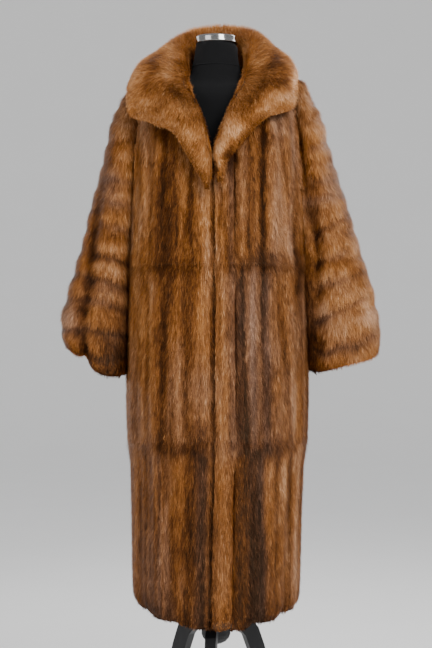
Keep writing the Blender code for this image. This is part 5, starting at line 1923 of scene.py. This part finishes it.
# ---------------------------------------------------------------- form and stand
@dataclass
class DressForm:
    """The limbless form in its knitted cover, with its bright cap and pole.

    Attributes:
        seam_height: Height of the seam round the neck.
        seam_radius: Half its thickness.
        seam_points: How many points its ring has.
        near: How far from that height the neck is still measured.
    """

    seam_height: float = 1.557
    seam_radius: float = 0.0015
    seam_points: int = 24
    near: float = 0.004

    def build(self) -> None:
        """Build the form, the seam round its neck, the cap and the pole."""
        jersey, chrome = JerseyFinish().build(), ChromeFinish().build()
        body = self.finer_piece("form_body", "form_cover", jersey, Slot.JERSEY)
        self.neck_seam(body, jersey)
        self.finer_piece("neck_cap", "neck_plate", chrome, Slot.METAL, 1.0)
        dress_node("pole", chrome)

    @staticmethod
    def finer_piece(
        node: str, name: str, material: bpy.types.Material, slot: Slot, facet: float = 40.0
    ) -> bpy.types.Object:
        """Make a smooth piece that stands for a node.

        Args:
            node: The node of the frame.
            name: The piece's name.
            material: Its finish.
            slot: Not used.
            facet: Largest angle between two triangles that become a quad, in degrees.

        Returns:
            The piece.
        """
        piece = link(name, fine_copy(node, name, 1, facet))
        finish_mesh(piece.data, material)
        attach(piece, BODY)
        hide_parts(node)
        LOG.info("%s: %d faces", piece.name, len(piece.data.polygons))
        return piece

    def neck_seam(self, body: bpy.types.Object, jersey: bpy.types.Material) -> None:
        """Lay the thin seam round the neck where its cover is joined.

        Args:
            body: The form's smooth body.
            jersey: The cover's finish.
        """
        points = coordinates(body.data)
        ring = points[np.abs(points[:, 2] - self.seam_height) < self.near]
        middle = 0.5 * (ring.min(axis=0) + ring.max(axis=0))
        half = 0.5 * (ring.max(axis=0) - ring.min(axis=0))
        curve = bpy.data.curves.new("neck_seam", "CURVE")
        curve.dimensions = "3D"
        curve.bevel_depth = self.seam_radius
        curve.bevel_resolution = 2
        spline = curve.splines.new("NURBS")
        spline.points.add(self.seam_points - 1)
        for number, point in enumerate(spline.points):
            turn = 2.0 * math.pi * number / self.seam_points
            point.co = (middle[0] + half[0] * math.cos(turn), middle[1] + half[1] * math.sin(turn),
                        self.seam_height, 1.0)
        spline.use_cyclic_u = True
        holder = link("neck_seam_curve", curve)
        mesh = evaluated_mesh(holder)
        bpy.data.objects.remove(holder)
        finish_mesh(mesh, jersey)
        seam = link("neck_seam", mesh)
        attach(seam, BODY)


def dress_node(name: str, material: bpy.types.Material) -> None:
    """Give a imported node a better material."""
    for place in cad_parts[name].material_slots:
        place.material = material
    LOG.info("%s: finished as it is", name)


@dataclass
class Stand:
    """Three flat lacquered boards round a turned hub, with metal glides."""

    lacquered: tuple[str, ...] = ("leg_1", "leg_2", "leg_3", "hub", "flange")
    glides: tuple[str, ...] = ("glide_1", "glide_2", "glide_3")
    metal: Colour = (0.62, 0.61, 0.60)

    def build(self) -> None:
        """Finish the stand's nodes."""
        for names, finish in ((self.lacquered, LacquerFinish()), (self.glides, ChromeFinish(self.metal))):
            material = finish.build()
            for name in names:
                dress_node(name, material)


# ---------------------------------------------------------------- studio
@dataclass(frozen=True)
class Lamp:
    """A soft square light.

    Attributes:
        name: The light's name.
        place: Where it hangs, from the foot of the form's axis.
        aim: The height on the axis that it looks at.
        size: Length of its side.
        power: Its power, in watts.
    """

    name: str
    place: Triple
    aim: float
    size: float
    power: float


@dataclass
class Studio:
    """Pale seamless floor, soft lights and the camera.

    Attributes:
        distance: How far in front of the axis the camera stands.
        eye: The camera's height.
        lens: Its focal length, in millimetres.
        sensor: Width of its sensor, in millimetres.
        level_reach: How far the floor is level.
        sweep: Radius of the bend from floor to wall.
        bends: Flat strips in that bend.
        wall_top: How high the wall is.
        sides: Sides of the round floor.
        drop: How far the floor lies under the feet.
        sky: Colour of the surroundings.
        sky_strength: Their strength.
        lamps: The lights.
    """

    distance: float = 3.40
    eye: float = 0.980
    lens: float = 84.0
    sensor: float = 36.0
    level_reach: float = 7.5
    sweep: float = 4.0
    bends: int = 16
    wall_top: float = 5.6
    sides: int = 96
    drop: float = 0.0005
    sky: Colour = (0.96, 0.97, 1.0)
    sky_strength: float = 0.75
    lamps: tuple[Lamp, ...] = (
        Lamp("key_light", (1.5, -2.4, 3.0), 1.15, 1.5, 120.0),
        Lamp("fill_light", (-2.3, -2.2, 1.9), 1.0, 1.8, 38.0),
        Lamp("rim_light", (1.5, 1.7, 2.7), 1.3, 1.2, 26.0),
        Lamp("low_light", (-1.6, 1.6, 1.8), 0.9, 1.4, 14.0),
    )

    def build(self, axis: Vector) -> None:
        """Set up the floor, the lights, the world and the camera.

        Args:
            axis: The form's axis on the floor.
        """
        self.floor(axis)
        for lamp in self.lamps:
            self.light(axis, lamp)
        self.world()
        self.camera(axis)

    def floor(self, axis: Vector) -> None:
        """Make the floor, which sweeps up far away on every side.

        Args:
            axis: The form's axis on the floor.
        """
        profile = [(self.level_reach, 0.0)]
        for step in range(1, self.bends + 1):
            turn = 0.5 * math.pi * step / self.bends
            profile.append((self.level_reach + self.sweep * math.sin(turn),
                            self.sweep * (1.0 - math.cos(turn))))
        profile.append((self.level_reach + self.sweep, self.wall_top))
        turns = [2.0 * math.pi * number / self.sides for number in range(self.sides)]
        work = bmesh.new()
        rings = [
            [work.verts.new((axis.x + reach * math.cos(turn), axis.y + reach * math.sin(turn), height))
             for turn in turns]
            for reach, height in profile
        ]
        middle = work.verts.new((axis.x, axis.y, 0.0))
        for number in range(self.sides):
            after = (number + 1) % self.sides
            work.faces.new((middle, rings[0][number], rings[0][after]))
            for lower, upper in zip(rings, rings[1:]):
                work.faces.new((lower[number], upper[number], upper[after], lower[after]))
        bmesh.ops.translate(work, verts=work.verts, vec=(0.0, 0.0, -self.drop))
        mesh = bpy.data.meshes.new("studio_floor")
        work.to_mesh(mesh)
        work.free()
        finish_mesh(mesh, FloorFinish().build())
        link("studio_floor", mesh)

    @staticmethod
    def light(axis: Vector, lamp: Lamp) -> None:
        """Add a soft area light that looks at the form's axis.

        Args:
            axis: The form's axis on the floor.
            lamp: What the light is like.
        """
        data = bpy.data.lights.new(lamp.name, "AREA")
        data.size, data.energy = lamp.size, lamp.power
        place, target = axis + Vector(lamp.place), axis + Vector((0.0, 0.0, lamp.aim))
        item = link(lamp.name, data)
        item.location = place
        item.rotation_euler = (target - place).to_track_quat("-Z", "Y").to_euler()

    def world(self) -> None:
        """Set the pale surroundings."""
        world = bpy.data.worlds.new("studio_world")
        world.use_nodes = True
        set_inputs(world.node_tree.nodes["Background"],
                   {"Color": (*self.sky, 1.0), "Strength": self.sky_strength})
        bpy.context.scene.world = world

    def camera(self, axis: Vector) -> None:
        """Place the camera straight in front of the form.

        Args:
            axis: The form's axis on the floor.
        """
        data = bpy.data.cameras.new("studio_camera")
        data.lens = self.lens
        data.sensor_width = data.sensor_height = self.sensor
        data.sensor_fit = "AUTO"
        item = link("studio_camera", data)
        item.location = (axis.x, axis.y - self.distance, self.eye)
        item.rotation_euler = (math.radians(90.0), 0.0, 0.0)
        bpy.context.scene.camera = item


def main() -> None:
    """Build the coat, the form, the stand and the studio."""
    logging.basicConfig(level=logging.INFO, format="%(message)s")
    low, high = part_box("pole")
    axis = Vector((0.5 * (low[0] + high[0]), 0.5 * (low[1] + high[1]), 0.0))
    Studio().build(axis)
    Coat().build(axis)
    DressForm().build()
    Stand().build()


if __name__ == "__main__":
    main()
